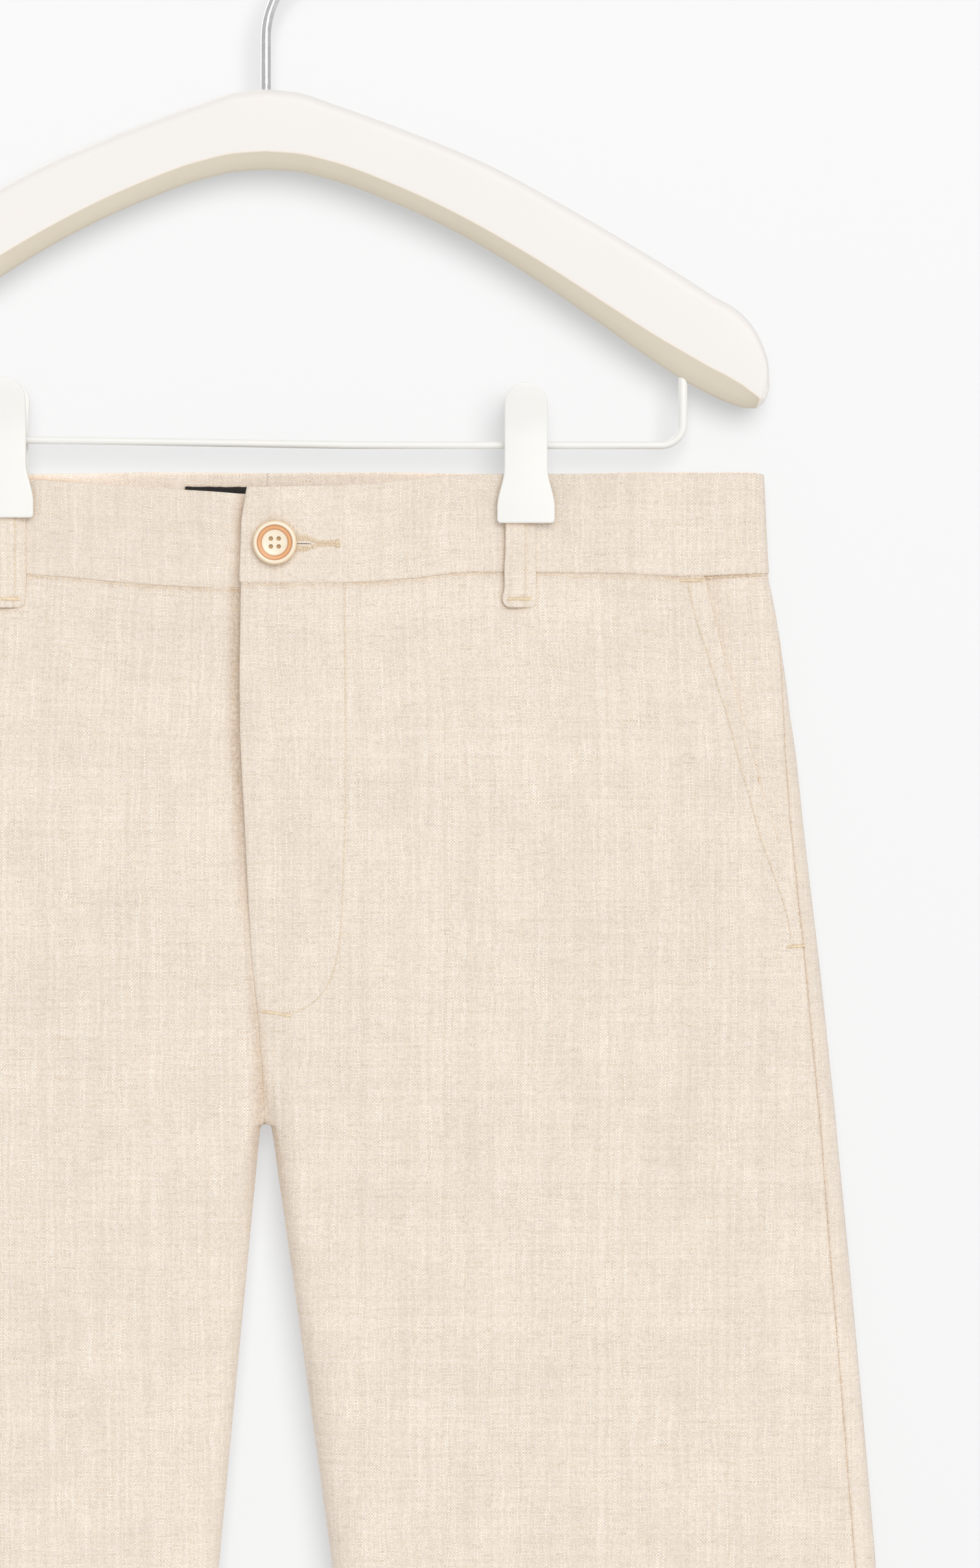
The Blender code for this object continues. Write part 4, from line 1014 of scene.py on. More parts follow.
def linen_material(name, shade=1.0):
    """Plain-woven linen: pale yarns down the cloth, beige ones across, both with slubs."""
    g = Graph(name)
    u, v, seed = g.split(g.attribute("weave", "Vector"))
    warp, weft, warp_over, dome = yarn_grid(g, u, v, seed)
    colour, warp_slub = yarn_colour(g, u, v, seed, warp, weft, warp_over)

    # Each crossing has its own tone and hue, and small patches lean to yellow or grey.
    crossing = g.math("POWER", g.white(g.vector(warp, weft, seed)), 2.0)
    colour = g.dim(colour, g.spread(crossing, 0.0, 1.0, *CROSSING_TONE, False))
    own_hue = g.white(g.vector(weft, warp, 5.0))
    patch_hue = g.spread(g.noise(g.vector(u, v, seed), 0.9), 0.3, 0.7)
    hue = g.plus(g.times(own_hue, 0.5), g.times(patch_hue, 0.5))
    colour = g.tint(colour, g.mix(hue, YELLOWED, GREYED))

    # Painted shade darkens the pits between the yarns, and the whole cloth is softly uneven.
    colour = g.tint(colour, g.mix(g.spread(dome, 0.0, 0.5), PIT_SHADE_TINT, WHITE))
    place = g.vector(u, v, g.times(seed, 50.0))
    cloud = g.spread(g.noise(place, 0.045, 3.0, 0.6), 0.3, 0.7, *CLOUD_TONE, False)
    fleck = g.spread(g.noise(place, 0.75, 2.0, 0.6), 0.25, 0.75, *FLECK_TONE, False)
    # shade below 1 darkens a whole copy of the cloth as painted shade.
    colour = g.dim(colour, g.times(g.times(cloud, fleck), shade))

    # Painted shade: narrow hollows beside edges and seams are tinted warmer and darker.
    hollow = g.add("ShaderNodeAmbientOcclusion", samples=6)
    hollow.inputs["Distance"].default_value = AO_HOLLOW_SHADE_REACH * METRES
    open_part = g.spread(hollow.outputs["AO"], 0.30, 0.92, smooth=False)
    colour = g.tint(colour, g.mix(open_part, AO_HOLLOW_SHADE_TINT, WHITE))

    # Painted shade from the "shaded" value: towards SEAM_SHADE_TINT above 0, and painted light below 0.
    shaded = g.attribute("shaded")
    rough = g.spread(g.noise(place, SHADE_ROUGH, 2.0, 0.6), 0.35, 0.65, 0.45, 1.5, False)
    colour = g.tint(colour, g.mix(g.times(shaded, rough), WHITE, SEAM_SHADE_TINT))
    colour = g.tint(colour, g.mix(g.spread(shaded, -1.0, 0.0), INSIDE_PAINTED_LIGHT, WHITE))

    # A sewn line lies in a shallow groove, with painted shade in it.
    groove = g.spread(g.math("ABSOLUTE", g.attribute("sewn")), *GROOVE)
    colour = g.tint(colour, g.mix(groove, GROOVE_SHADE_TINT, WHITE))
    height = g.plus(g.plus(dome, g.times(groove, 2.0)), g.times(warp_slub, 0.5))
    g.bump(height, 0.09 * METRES, 0.7)
    return g.finish(colour, Roughness=LINEN_ROUGH, Sheen_Weight=0.12, Sheen_Roughness=0.5)


THREAD_TAN = (0.860, 0.710, 0.510, 1.0)


def thread_material():
    """Sewing thread in a tan a little darker than the cloth."""
    g = Graph("sewing_thread")
    place = g.place()
    tone = g.spread(g.noise(place, 900.0), 0.3, 0.7, 0.82, 1.12, False)
    g.bump(g.noise(place, 4000.0, 1.0), 0.05 * METRES)
    return g.finish(g.dim(THREAD_TAN, tone), Roughness=0.7, Sheen_Weight=0.2)


LABEL_BLACK = (0.016, 0.014, 0.012, 1.0)
LABEL_LINT = (0.16, 0.13, 0.10, 1.0)
LABEL_RIB = 0.45  # from one rib to the next
LABEL_YARN = 0.35


def label_material():
    """A black woven label with fine ribs and a little lint."""
    g = Graph("label_black_weave")
    u, v, _seed = g.split(g.attribute("weave", "Vector"))
    rib = g.math("COSINE", g.times(v, 2 * np.pi / LABEL_RIB))
    yarn = g.math("COSINE", g.times(u, 2 * np.pi / LABEL_YARN))
    lint = g.spread(g.noise(g.vector(u, v), 1.4, 4.0, 0.7), 0.58, 0.72)
    g.bump(g.plus(rib, g.times(yarn, 0.5)), 0.08 * METRES)
    colour = g.mix(g.times(lint, 0.35), LABEL_BLACK, LABEL_LINT)
    return g.finish(colour, Roughness=0.8, Sheen_Weight=0.3)


BUTTON_CREAM = ((0.86, 0.72, 0.52, 1.0), (0.93, 0.86, 0.73, 1.0))  # from streak to streak
BUTTON_TAN = ((0.72, 0.34, 0.14, 1.0), (0.84, 0.46, 0.22, 1.0))
BUTTON_LINE = (0.60, 0.27, 0.11, 1.0)
BUTTON_RIM = (0.80, 0.56, 0.30, 1.0)
BUTTON_HOLE_SHADE_BROWN = (0.29, 0.135, 0.06, 1.0)


def button_material():
    """A cream button with a tan ring between two dark lines, slightly streaked like horn."""
    g = Graph("button_horn")
    radial = g.attribute("radial")
    streak = g.noise(g.place(), 260.0, 3.0, 0.6)
    ring = g.between(radial, (0.575, 0.615), (0.775, 0.815))
    inner_line = g.between(radial, (0.565, 0.59), (0.625, 0.66))
    outer_line = g.between(radial, (0.735, 0.76), (0.795, 0.825))
    colour = g.mix(ring, g.mix(streak, *BUTTON_CREAM), g.mix(streak, *BUTTON_TAN))
    colour = g.mix(g.times(g.math("MAXIMUM", inner_line, outer_line), 0.85), colour, BUTTON_LINE)
    # The holes' filling is dark brown: thread with painted shade.
    colour = g.mix(g.spread(radial, 1.4, 1.6), colour, BUTTON_HOLE_SHADE_BROWN)
    colour = g.mix(g.times(g.spread(radial, 0.90, 0.97), 0.6), colour, BUTTON_RIM)
    g.bump(streak, 0.02 * METRES)
    return g.finish(colour, Roughness=0.28, Coat_Weight=0.35, Coat_Roughness=0.15)


PAINT_FACE = ((0.840, 0.797, 0.757, 1.0), (0.822, 0.797, 0.770, 1.0))  # from patch to patch
PAINT_UNDER_TONE_AND_SHADE = ((0.66, 0.59, 0.465, 1.0), (0.71, 0.645, 0.53, 1.0))
PAINT_RIM_SHADE = (0.85, 0.81, 0.775, 1.0)
PAINT_CORNER = (0.88, 0.80, 0.73, 1.0)
PAINT_GRAIN = (60.0, 900.0, 500.0)  # of its noise, per metre along each axis


def paint_material():
    """White painted wood: a warm white face and a cream-grey underside, darkened partly with painted
    shade.
    """
    g = Graph("hanger_paint")
    place = g.place()
    under = g.attribute("under")
    patch = g.noise(place, 28.0, 3.0, 0.55)
    # The top rim faces the light, and painted shade darkens it.
    face = g.mix(g.attribute("rim"), g.mix(patch, *PAINT_FACE), PAINT_RIM_SHADE)
    # The underside is partly the paint's own tone and partly painted shade, for where it faces down.
    colour = g.mix(g.spread(under, 0.3, 0.7), face, g.mix(patch, *PAINT_UNDER_TONE_AND_SHADE))
    colour = g.mix(g.between(under, (0.0, 0.5), (0.5, 1.0)), colour, PAINT_CORNER)
    grained = g.vector(*[g.times(part, scale) for part, scale in zip(g.split(place), PAINT_GRAIN)])
    g.bump(g.noise(grained, 1.0, 3.0), 0.03 * METRES)
    return g.finish(colour, Roughness=g.spread(patch, 0.3, 0.7, 0.50, 0.60))


def coat_material():
    """Smooth white coating on the clips and the bar."""
    g = Graph("white_coating")
    place = g.place()
    patch = g.noise(place, 70.0)
    colour = g.mix(patch, (0.838, 0.830, 0.792, 1.0), (0.862, 0.856, 0.825, 1.0))
    g.bump(g.noise(place, 1400.0), 0.012 * METRES)
    return g.finish(colour, Roughness=g.spread(patch, 0.3, 0.7, 0.30, 0.40))


def bright_material():
    """Plated steel with faint marks."""
    g = Graph("bright_plating")
    mark = g.noise(g.place(), 350.0, 4.0, 0.6)
    g.bump(mark, 0.015 * METRES)
    roughness = g.spread(mark, 0.3, 0.7, 0.16, 0.30)
    return g.finish(g.mix(mark, grey(0.62), grey(0.80)), Roughness=roughness, Metallic=1.0)


LINEN = linen_material("linen")
# A darker copy for the fly shield inside the fly: painted shade.
LINEN_SHADED_INSIDE = linen_material("linen_shaded_inside", 0.97)
THREADS = thread_material()
LABEL = label_material()
BUTTON = button_material()
PAINT = paint_material()
COATING = coat_material()
BRIGHT = bright_material()

# ---- Threads ----


def loft_faces(sections, count):
    """Faces of a closed skin over sections of count points each, with both ends."""
    faces = [tuple(range(count))[::-1]]
    for s in range(sections - 1):
        for k in range(count):
            a, b = s * count + k, s * count + (k + 1) % count
            faces.append((a, b, b + count, a + count))
    last = (sections - 1) * count
    faces.append(tuple(range(last, last + count)))
    return faces


def sweep(route, radii, sides):
    """Points and faces of a rod along a route, with its own radius at each point."""
    route = np.asarray(route, float)
    ahead = np.gradient(route, axis=0)
    ahead = ahead / np.linalg.norm(ahead, axis=1)[:, None]
    across = np.cross(ahead[0], (0.0, 0.0, 1.0) if abs(ahead[0][2]) < 0.9 else (0.0, 1.0, 0.0))
    angles = 2 * np.pi * np.arange(sides)[:, None] / sides
    points = []
    for place, direction, radius in zip(route, ahead, radii):
        across = across - direction * np.dot(across, direction)
        across = across / np.linalg.norm(across)
        other = np.cross(direction, across)
        points.append(place + radius * (np.cos(angles) * across + np.sin(angles) * other))
    return np.concatenate(points), loft_faces(len(route), sides)


class Sewing:
    """Gathers many short pieces of thread into one mesh."""

    def __init__(self):
        self.points, self.faces, self.count = [], [], 0

    def add(self, route, radius=THREAD, sides=6):
        radii = radius * np.sin(np.linspace(0.3, np.pi - 0.3, len(route))) ** 0.5
        points, faces = sweep(route, radii, sides)
        self.faces += [tuple(i + self.count for i in face) for face in faces]
        self.points.append(points)
        self.count += len(points)

    def stitch(self, begin, end, rise=0.04, sink=0.22, radius=THREAD):
        """One stitch between two places on the cloth, each a point and the way out of it."""
        t = np.linspace(0.0, 1.0, 5)[:, None]
        lift = (sink + rise) * np.sin(np.pi * t) ** 0.6 - sink
        out = begin[1] * (1 - t) + end[1] * t
        self.add(begin[0] * (1 - t) + end[0] * t + out * (lift + radius * 0.5), radius)

    def piece(self, name):
        made = add_mesh(name, np.concatenate(self.points), self.faces, THREADS, None)
        return made


def front_place(side, x, below):
    """A place on a front's outer face and the way out, with the sewn relief."""
    across = side * x
    out = surface_out(side, across, below, "front") + sewn_relief(side, np.array(x), np.array(below))
    out = float(out) - under_band(below)
    z = -WAIST_DROP - below - GAP - float(front_sag(side, across, below))
    return np.array([x, -out, z]), np.array([0.0, -1.0, 0.0])


def run_stitches(sewing, line, place_of, step=STITCH_STEP, length=STITCH, seed=1, rise=0.04):
    """A row of stitches along a line of x and below."""
    rng = np.random.default_rng(seed)
    lengths = np.concatenate([[0.0], np.cumsum(np.hypot(*np.diff(line, axis=0).T))])
    starts = np.arange(0.3, lengths[-1] - length, step)
    for start in starts + rng.uniform(-0.08, 0.08, len(starts)):
        ends = []
        for at in (start, start + length):
            x, below = (np.interp(at, lengths, line[:, k]) for k in (0, 1))
            ends.append(place_of(x, below + rng.uniform(-0.05, 0.05)))
        sewing.stitch(*ends, rise=rise)


def bartack(sewing, ends, place_of, width=1.5, step=0.27, seed=3):
    """A dense bar of thread from one place to another, each x and below."""
    rng = np.random.default_rng(seed)
    (x0, b0), (x1, b1) = ends
    length = np.hypot(x1 - x0, b1 - b0)
    along = np.array([x1 - x0, b1 - b0]) / length
    side_way = np.array([-along[1], along[0]])
    for k, at in enumerate(np.arange(0.0, length, step)):
        middle = np.array([x0, b0]) + along * at
        slant = along * step * (0.6 if k % 2 else -0.6)
        reach = width / 2 * rng.uniform(0.85, 1.1)
        a = middle - side_way * reach - slant
        b = middle + side_way * reach + slant
        sewing.stitch(place_of(*a), place_of(*b), rise=0.12, sink=0.1, radius=0.19)


# ---- Cloth pieces ----

PANEL_STEP = 2.3
ROW_STEP = 2.3
BACK_STEP = 4.2
BACK_ROW_STEP = 3.2
BAND_STEP = 2.2
SHIELD_STEP = 4.0
SHIELD_COLUMNS = 24
LOOP_STEP = 1.3
LOOP_COLUMNS = 26
LABEL_ROWS = 28
LABEL_COLUMNS = 60

# What sets the weaves of the cloths apart, by side where there are two. The fly shield's is the
# right waistband's.
FRONT_SEED = {1: 1, -1: 2}
BACK_SEED = {1: 3, -1: 4}
POCKET_SEED = {1: 5, -1: 6}
SHIELD_SEED = 7
BAND_SEED = {1: 9, -1: 7}
LOOP_SEED = 11
LABEL_SEED = 12


def right_fly_set_back(across, below):
    return fly_recess(across, below, CLOTH + GAP + SLACK)


def band_set_back(across, below):
    return lap_recess(across, -flap_edge(below), BAND_CLOTH + GAP + SLACK)


def body_rows(end, step, top=SEAM_LEVEL - 1.3):
    """Levels of a body panel, close together at its ends and where the legs part."""
    rows = stops(top, end, step)
    if end < CROTCH:
        return rows
    apart = (rows < CROTCH_ROWS[0] - step / 2) | (rows > CROTCH_ROWS[-1] + step / 2)
    return np.sort(np.concatenate([rows[apart], CROTCH_ROWS]))


def add_panel(part, side, rows, start_of, span_of, step, thickness_of, seed, shade_of, set_back=None,
              raised=None, sewn_of=None, hem=True):
    """A body panel as a closed wall.

    start_of(below) gives where the ring of that level starts, and span_of(below, line) where the
    panel begins and ends along it.
    """
    lines = []
    for below in rows:
        line = ring(side, below, start_of(below), set_back)
        lines.append((below, line, *span_of(below, line)))
    columns = len(stops(0.0, max(end - begin for _, _, begin, end in lines), step))
    cloth = Cloth()
    for below, line, begin, end in lines:
        at = even_stops(begin, end, columns)
        thickness = thickness_of(below)
        roll = edge_roll([at - begin, end - at, below - rows[0], rows[-1] - below], thickness)
        sunk = np.full(columns, under_band(below))
        if raised is not None:
            across = np.interp(at, line.length, line.across)
            on_front = np.interp(at, line.length, line.y) < 0
            sunk = sunk - np.where(on_front, raised(side * across, np.full(columns, below)), 0.0)
        outer, inner = wall_row(side, line, at, thickness, roll, panel_depth(side, below), sunk)
        # The yarns are counted from the side fold, so that they hang straight beside the crotch.
        along = side * (float(level("side", below)) + at - line.length[RING_SAMPLES - 1])
        shade = shade_of(side * outer[:, 0], below, at - begin, end - at)
        cloth.row(outer, inner, along, below, seed, shade)

    def panel_sewn(outer, weave):
        sewn = np.full(outer.shape[:2], NO_SEAM)
        if sewn_of is not None:
            sewn = np.where(outer[..., 1] < 0, sewn_of(outer[..., 0], weave[..., 1]), NO_SEAM)
        return np.minimum(sewn, HEM_LEVEL - weave[..., 1]) if hem else sewn

    name = f"{part}_{hand(side)}"
    band = f"linen_waistband_{hand(side)}"
    cloth.piece(f"linen_{name}", name, [band], sewn_of=panel_sewn, flip=side < 0)


def front_sewn(side):
    """Distances from the sewn lines, above 0 between the fly's and the pocket's."""

    def distance(x, below):
        beyond = np.abs(x) > np.interp(below, POCKET_CURVE[:, 1], POCKET_CURVE[:, 0])
        near = line_distance(np.abs(x), below, POCKET_GROOVE)
        near = np.where(beyond & (below < POCKET_GROOVE[-1, 1]), -near, near)
        if side > 0:
            inside = x < np.interp(below, FLY_CURVE[:, 1], FLY_CURVE[:, 0])
            over = below < np.interp(x, FLY_GROOVE[:-3:-1, 0], FLY_GROOVE[:-3:-1, 1])
            fly = line_distance(x, below, FLY_GROOVE)
            near = np.minimum(near, np.where(inside & over, -fly, fly))
        return near

    return distance


def add_front(side):
    def start_of(below):
        start = centre_start(side, below)
        if side < 0:
            start -= FLY_LAP * float(1.0 - ease((below - FLY_LAP_FADE[0]) / FLY_LAP_FADE[1]))
        return start

    def span_of(below, line):
        over = SEAM_CLOSE if below >= POCKET_END else -GAP / 2
        return 0.0, length_at(line, front_edge(below)) + over

    def shade_of(across, below, from_begin, to_end):
        from_seam = to_end if below >= POCKET_END else to_end + NO_SEAM
        return panel_shade(side, across, below, True, from_seam)

    def raised(x, below):
        return sewn_relief(side, x, below)

    set_back = right_fly_set_back if side < 0 else None
    add_panel("front", side, body_rows(OUTSEAM, ROW_STEP), start_of, span_of, PANEL_STEP, cloth_at,
              FRONT_SEED[side], shade_of, set_back, raised, front_sewn(side))


def add_back(side):
    def start_of(below):
        return inner_edge(side, below)

    def span_of(below, line):
        return length_at(line, side_seam(below)) - SEAM_CLOSE, line.length[-1]

    def shade_of(across, below, from_begin, to_end):
        return panel_shade(side, across, below, False, from_begin)

    add_panel("back", side, body_rows(OUTSEAM, BACK_ROW_STEP), start_of, span_of, BACK_STEP, cloth_at,
              BACK_SEED[side], shade_of)


def add_pocket_facing(side):
    def start_of(below):
        return front_edge(below) - POCKET_UNDER

    def span_of(below, line):
        tucked = FACING_TUCK * float(ease((below - POCKET_END - 0.5) / FACING_TUCK))
        return 0.0, length_at(line, side_seam(below)) + SEAM_CLOSE - tucked

    def thickness_of(below):
        return CLOTH

    def shade_of(across, below, from_begin, to_end):
        # Painted shade is stronger along the dark line at the pocket's low end.
        slit_shade = 1.0 + 1.5 * float(np.exp(-(((below - SLIT_SHADE[0]) / SLIT_SHADE[1]) ** 2)))
        shade = slit_shade * panel_shade(side, across, below, False, to_end)
        top = 1.0 - float(ease((below - POCKET_SHADE_FADE[0]) / POCKET_SHADE_FADE[1]))
        beside = across - front_edge(below)
        return shade + POCKET_SHADE * top * np.exp(-((beside / POCKET_SHADE_REACH) ** 2))

    def set_back(across, below):
        seam, edge = side_seam(below), front_edge(below)
        return FACING_BACK * ease((seam - across) / max(seam - edge, FACING_SLOPE))

    add_panel("pocket_facing", side, body_rows(FACING_END, ROW_STEP), start_of, span_of, PANEL_STEP,
              thickness_of, POCKET_SEED[side], shade_of, set_back, hem=False)


def add_fly_shield():
    """The strip behind the fly, sewn to the right front."""
    cloth = Cloth()
    for below in body_rows(SHIELD_EDGE[-1].below, SHIELD_STEP, SEAM_LEVEL):
        end = float(follow(SHIELD_EDGE, "below", "x", below))
        x = even_stops(SHIELD_START, end, SHIELD_COLUMNS)
        out = surface_out(1, x, below, "front") - 2 * (CLOTH + GAP + SLACK) - SHIELD_SUNK
        z = -WAIST_DROP - below - GAP - front_sag(-1, -x, below)
        outer = np.stack([x, -out, z], axis=-1)
        cloth.row(outer, outer + np.array([0.0, CLOTH, 0.0]), x, below, SHIELD_SEED)
    cloth.piece("linen_fly_shield", "fly_shield", ["linen_waistband_right"], LINEN_SHADED_INSIDE)


def band_depth(side, part):
    """depth_of for the waistband, part of the way from its top to its seam."""

    def depth_of(across, y):
        rise = -BACK_RISE * ease(y / BACK_RISE_OVER)
        top = np.where(y < 0, follow(WAIST, "across", f"top_{hand(side)}", across), rise)
        seam = np.where(y < 0, follow(WAIST, "across", f"seam_{hand(side)}", across), SEAM_LEVEL)
        return top + (seam - top) * part

    return depth_of


FLAP_CORNER = 1.6  # rounding of the waistband end's lower corner
BAND_SEAM_SHADE = (0.6, 0.5)  # as part of SEAM_SHADE, and its reach


def band_start(side, height):
    """Where the waistband begins: at its lapping end on the left, and under it on the right."""
    if side < 0:
        return UNDERLAP_END
    corner = np.clip(1.0 - (SEAM_LEVEL - height) / FLAP_CORNER, 0.0, 1.0)
    return flap_edge(height + FLAP_EDGE[0][0]) + FLAP_CORNER * (1.0 - np.sqrt(1.0 - corner**2))


def add_waistband(side):
    """Half of the waistband: from its front end round the side to the middle of the back."""
    cloth = Cloth()
    columns = None
    for height in stops(0.0, SEAM_LEVEL, BAND_STEP):
        start = band_start(side, height)
        line = ring(side, height, start, band_set_back if side < 0 else None)
        end = line.length[-1]
        columns = columns or len(stops(0.0, end, BAND_STEP))
        at = even_stops(0.0, end, columns)
        roll = edge_roll([at, height, SEAM_LEVEL - height], BAND_CLOTH)
        depth_of = band_depth(side, height / SEAM_LEVEL)
        outer, inner = wall_row(side, line, at, BAND_CLOTH, roll, depth_of)
        strength, reach = BAND_SEAM_SHADE
        shade = strength * SEAM_SHADE * np.exp(-(((SEAM_LEVEL - height) / reach) ** 2))
        if side < 0:
            beside = BAND_LAP_SHADE * lap_shade(-outer[:, 0] + flap_edge(height), height)
            shade = shade + np.where(outer[:, 1] < 0, beside, 0.0)
        cloth.row(outer, inner, side * (start + at), height, BAND_SEED[side], shade)
    clip = f"clip_{hand(side)}"
    cloth.piece(
        f"linen_waistband_{hand(side)}", f"waistband_{hand(side)}",
        [f"{clip}_front_plate", f"{clip}_back_plate"], flip=side < 0, inside=INSIDE_PAINTED_LIGHTER,
    )


LOOP_END_ROUND = (3.0, 2.2)  # of its low corners: how high they are, and how much narrower it gets
LOOP_DOME = 0.35


def loop_place(x, face, stand, across, below):
    """A place on a belt loop's outer face, across its width from -0.5 to 0.5."""
    side = 1 if x >= 0 else -1
    sign = -1.0 if face == "front" else 1.0
    part = (below - LOOP_TOP) / (LOOP_END - LOOP_TOP)
    near_end = np.clip(1.0 - (LOOP_END - below) / LOOP_END_ROUND[0], 0.0, 1.0)
    half = LOOP_WIDTH / 2 - LOOP_END_ROUND[1] * (1.0 - np.sqrt(1.0 - near_end**2))
    xs = x + 2 * half * across
    out = surface_out(side, side * xs, below, face)
    out = out + GAP + SLACK + LOOP_CLOTH + stand * np.sin(np.pi * part) ** 2
    out = out + LOOP_DOME * np.cos(np.pi * across) * (1.0 - near_end)
    if face == "front":
        out = out + np.interp(across, (-0.5, 0.0, 0.5), (LOOP_LEAN[0], 0.0, LOOP_LEAN[1]))
    wander = 0.15 * soft_noise(below, x, 14.0, 71) + 0.10 * soft_noise(below, x, 5.0, 72)
    spread = LOOP_SPREAD[2] * ease((below - LOOP_SPREAD[0]) / LOOP_SPREAD[1]) * (1.0 - near_end)
    wander = wander + (0.5 - across) * (LOOP_WANDER * soft_noise(below, x, 8.0, 73) - spread)
    return np.stack(np.broadcast_arrays(xs + wander, sign * out, -WAIST_DROP - below), axis=-1)


def add_belt_loop(name, x, face, stand):
    """A loop from the top of the waist to below the waist seam, over the waistband."""
    outwards = np.array([0.0, -1.0 if face == "front" else 1.0, 0.0])
    part = even_stops(0.0, 1.0, LOOP_COLUMNS)
    width = LOOP_WIDTH * part
    cloth = Cloth()
    for below in stops(LOOP_TOP, LOOP_END, LOOP_STEP):
        surface = loop_place(x, face, stand, part - 0.5, below)
        edges = [width, LOOP_WIDTH - width, below - LOOP_TOP, LOOP_END - below]
        roll = edge_roll(edges, LOOP_CLOTH)[:, None]
        outer, inner = surface - roll * outwards, surface - (LOOP_CLOTH - roll) * outwards
        cloth.row(outer, inner, x + width, below, LOOP_SEED)

    def sewn_of(outer, weave):
        return weave[..., 0] - x - (0.5 + LOOP_SEWN) * LOOP_WIDTH

    band = f"linen_waistband_{hand(1 if x >= 0 else -1)}"
    cloth.piece(f"linen_{name}", name, [band], sewn_of=sewn_of, flip=face == "back")
    sewing = Sewing()

    def place_of(at, below):
        return loop_place(x, face, stand, (at - x) / LOOP_WIDTH, below), outwards

    below, length = LOOP_BARTACK
    bartack(sewing, ((x - length / 2, below), (x + length / 2, below)), place_of, width=1.7)
    sewn_x = x + LOOP_SEWN * LOOP_WIDTH
    line = np.array([[sewn_x, LOOP_TOP + 1.0], [sewn_x, LOOP_BARTACK[0] - 2.5]])
    run_stitches(sewing, line, place_of, seed=int(abs(x)) + 5, rise=-0.02)
    sewing.piece("thread_" + name)


LABEL_FRAY = (0.12, 1.6, 1.5)  # of its top edge: height, size and reach
LABEL_SEWN_IN = 1.5  # from its edges to its stitches


def label_out(x, below):
    """How far behind the hanging plane the label's back lies, against the waistband's inside."""
    return surface_out(1, np.abs(x), below, "back") - BAND_CLOTH - GAP - SLACK


def add_label():
    """A plain label on the inside of the back waistband."""
    cloth = Cloth()
    height, size, reach = LABEL_FRAY
    xs = even_stops(-LABEL_HALF_WIDTH, LABEL_HALF_WIDTH, LABEL_COLUMNS)
    for below in even_stops(LABEL_TOP, LABEL_TOP + LABEL_HEIGHT, LABEL_ROWS):
        fray = height * soft_noise(xs, below, size, 81) * np.exp(-(below - LABEL_TOP) / reach)
        outer = np.stack([xs, label_out(xs, below), -WAIST_DROP - below + fray], axis=-1)
        cloth.row(outer, outer - np.array([0.0, LABEL_CLOTH, 0.0]), xs, below, LABEL_SEED)
    bands = ["linen_waistband_left", "linen_waistband_right"]
    cloth.piece("woven_label", "waist_label", bands, LABEL, "label", flip=True)
    sewing = Sewing()

    def place_of(x, below):
        out = label_out(x, below) - LABEL_CLOTH
        return np.array([x, float(out), -WAIST_DROP - below]), np.array([0.0, -1.0, 0.0])

    right = LABEL_HALF_WIDTH - LABEL_SEWN_IN
    left = -right
    top, low = LABEL_TOP + LABEL_SEWN_IN, LABEL_TOP + LABEL_HEIGHT - LABEL_SEWN_IN
    corners = ((left, top), (right, top), (left, low), (right, low))
    for begin, end in ((0, 1), (2, 3), (0, 2), (1, 3)):
        run_stitches(sewing, np.array([corners[begin], corners[end]]), place_of, seed=9)
    sewing.piece("thread_label").data.materials[0] = LABEL


# ---- Sewing on the body ----


def waist_seam_line(side):
    """The row of stitches just under the waist seam, on the front from the fly to the side."""
    across = np.linspace(SEAM_STITCH_START[0 if side > 0 else 1], SEAM_STITCH_END, 400)
    shown = ease((across - SEAM_SHOWN[0]) / 3.0) * (1.0 - ease((across - SEAM_SHOWN[1]) / 3.0))
    under = SEAM_STITCH_UNDER + (SEAM_SHOWN_UNDER - SEAM_STITCH_UNDER) * shown
    return np.stack([side * across, SEAM_LEVEL + under], axis=-1)


def back_place(side, x, below):
    out = float(surface_out(side, side * x, below, "back")) - under_band(below)
    return np.array([x, out, -WAIST_DROP - below - GAP]), np.array([0.0, 1.0, 0.0])


def sew_hem(sewing, side, end, place_of, seed):
    """The hem's stitches on one face, from the leg's inner edge out to end."""
    begin = float(inner_across(side, HEM_LEVEL)) + HEM_STITCH_IN
    line = np.array([[side * begin, HEM_LEVEL], [side * end, HEM_LEVEL]])
    run_stitches(sewing, line, place_of, HEM_STITCH_STEP, seed=seed, rise=HEM_STITCH_RISE)


def add_front_sewing(side):
    sewing = Sewing()

    def place_of(x, below):
        place, out = front_place(side, x, below)
        if side < 0:
            place[1] += float(right_fly_set_back(-x, below))
        return place, out

    run_stitches(sewing, waist_seam_line(side), place_of, SEAM_STITCH_STEP, seed=21, rise=-0.08)
    mirror = np.array([float(side), 1.0])
    run_stitches(sewing, POCKET_CURVE * mirror, place_of, seed=22)
    for ends in (POCKET_BARTACK_TOP, POCKET_BARTACK_LOW):
        bartack(sewing, on_panel(ends) * mirror, place_of)
    bartack(sewing, on_panel(POCKET_TACK) * mirror, place_of, TACK_WIDTH)
    if side > 0:
        run_stitches(sewing, FLY_CURVE, place_of, seed=23)
        bartack(sewing, on_panel(FLY_BARTACK), place_of)
    sew_hem(sewing, side, side_seam(HEM_LEVEL) - 1.0, place_of, 24)
    sewing.piece(f"thread_front_{hand(side)}")


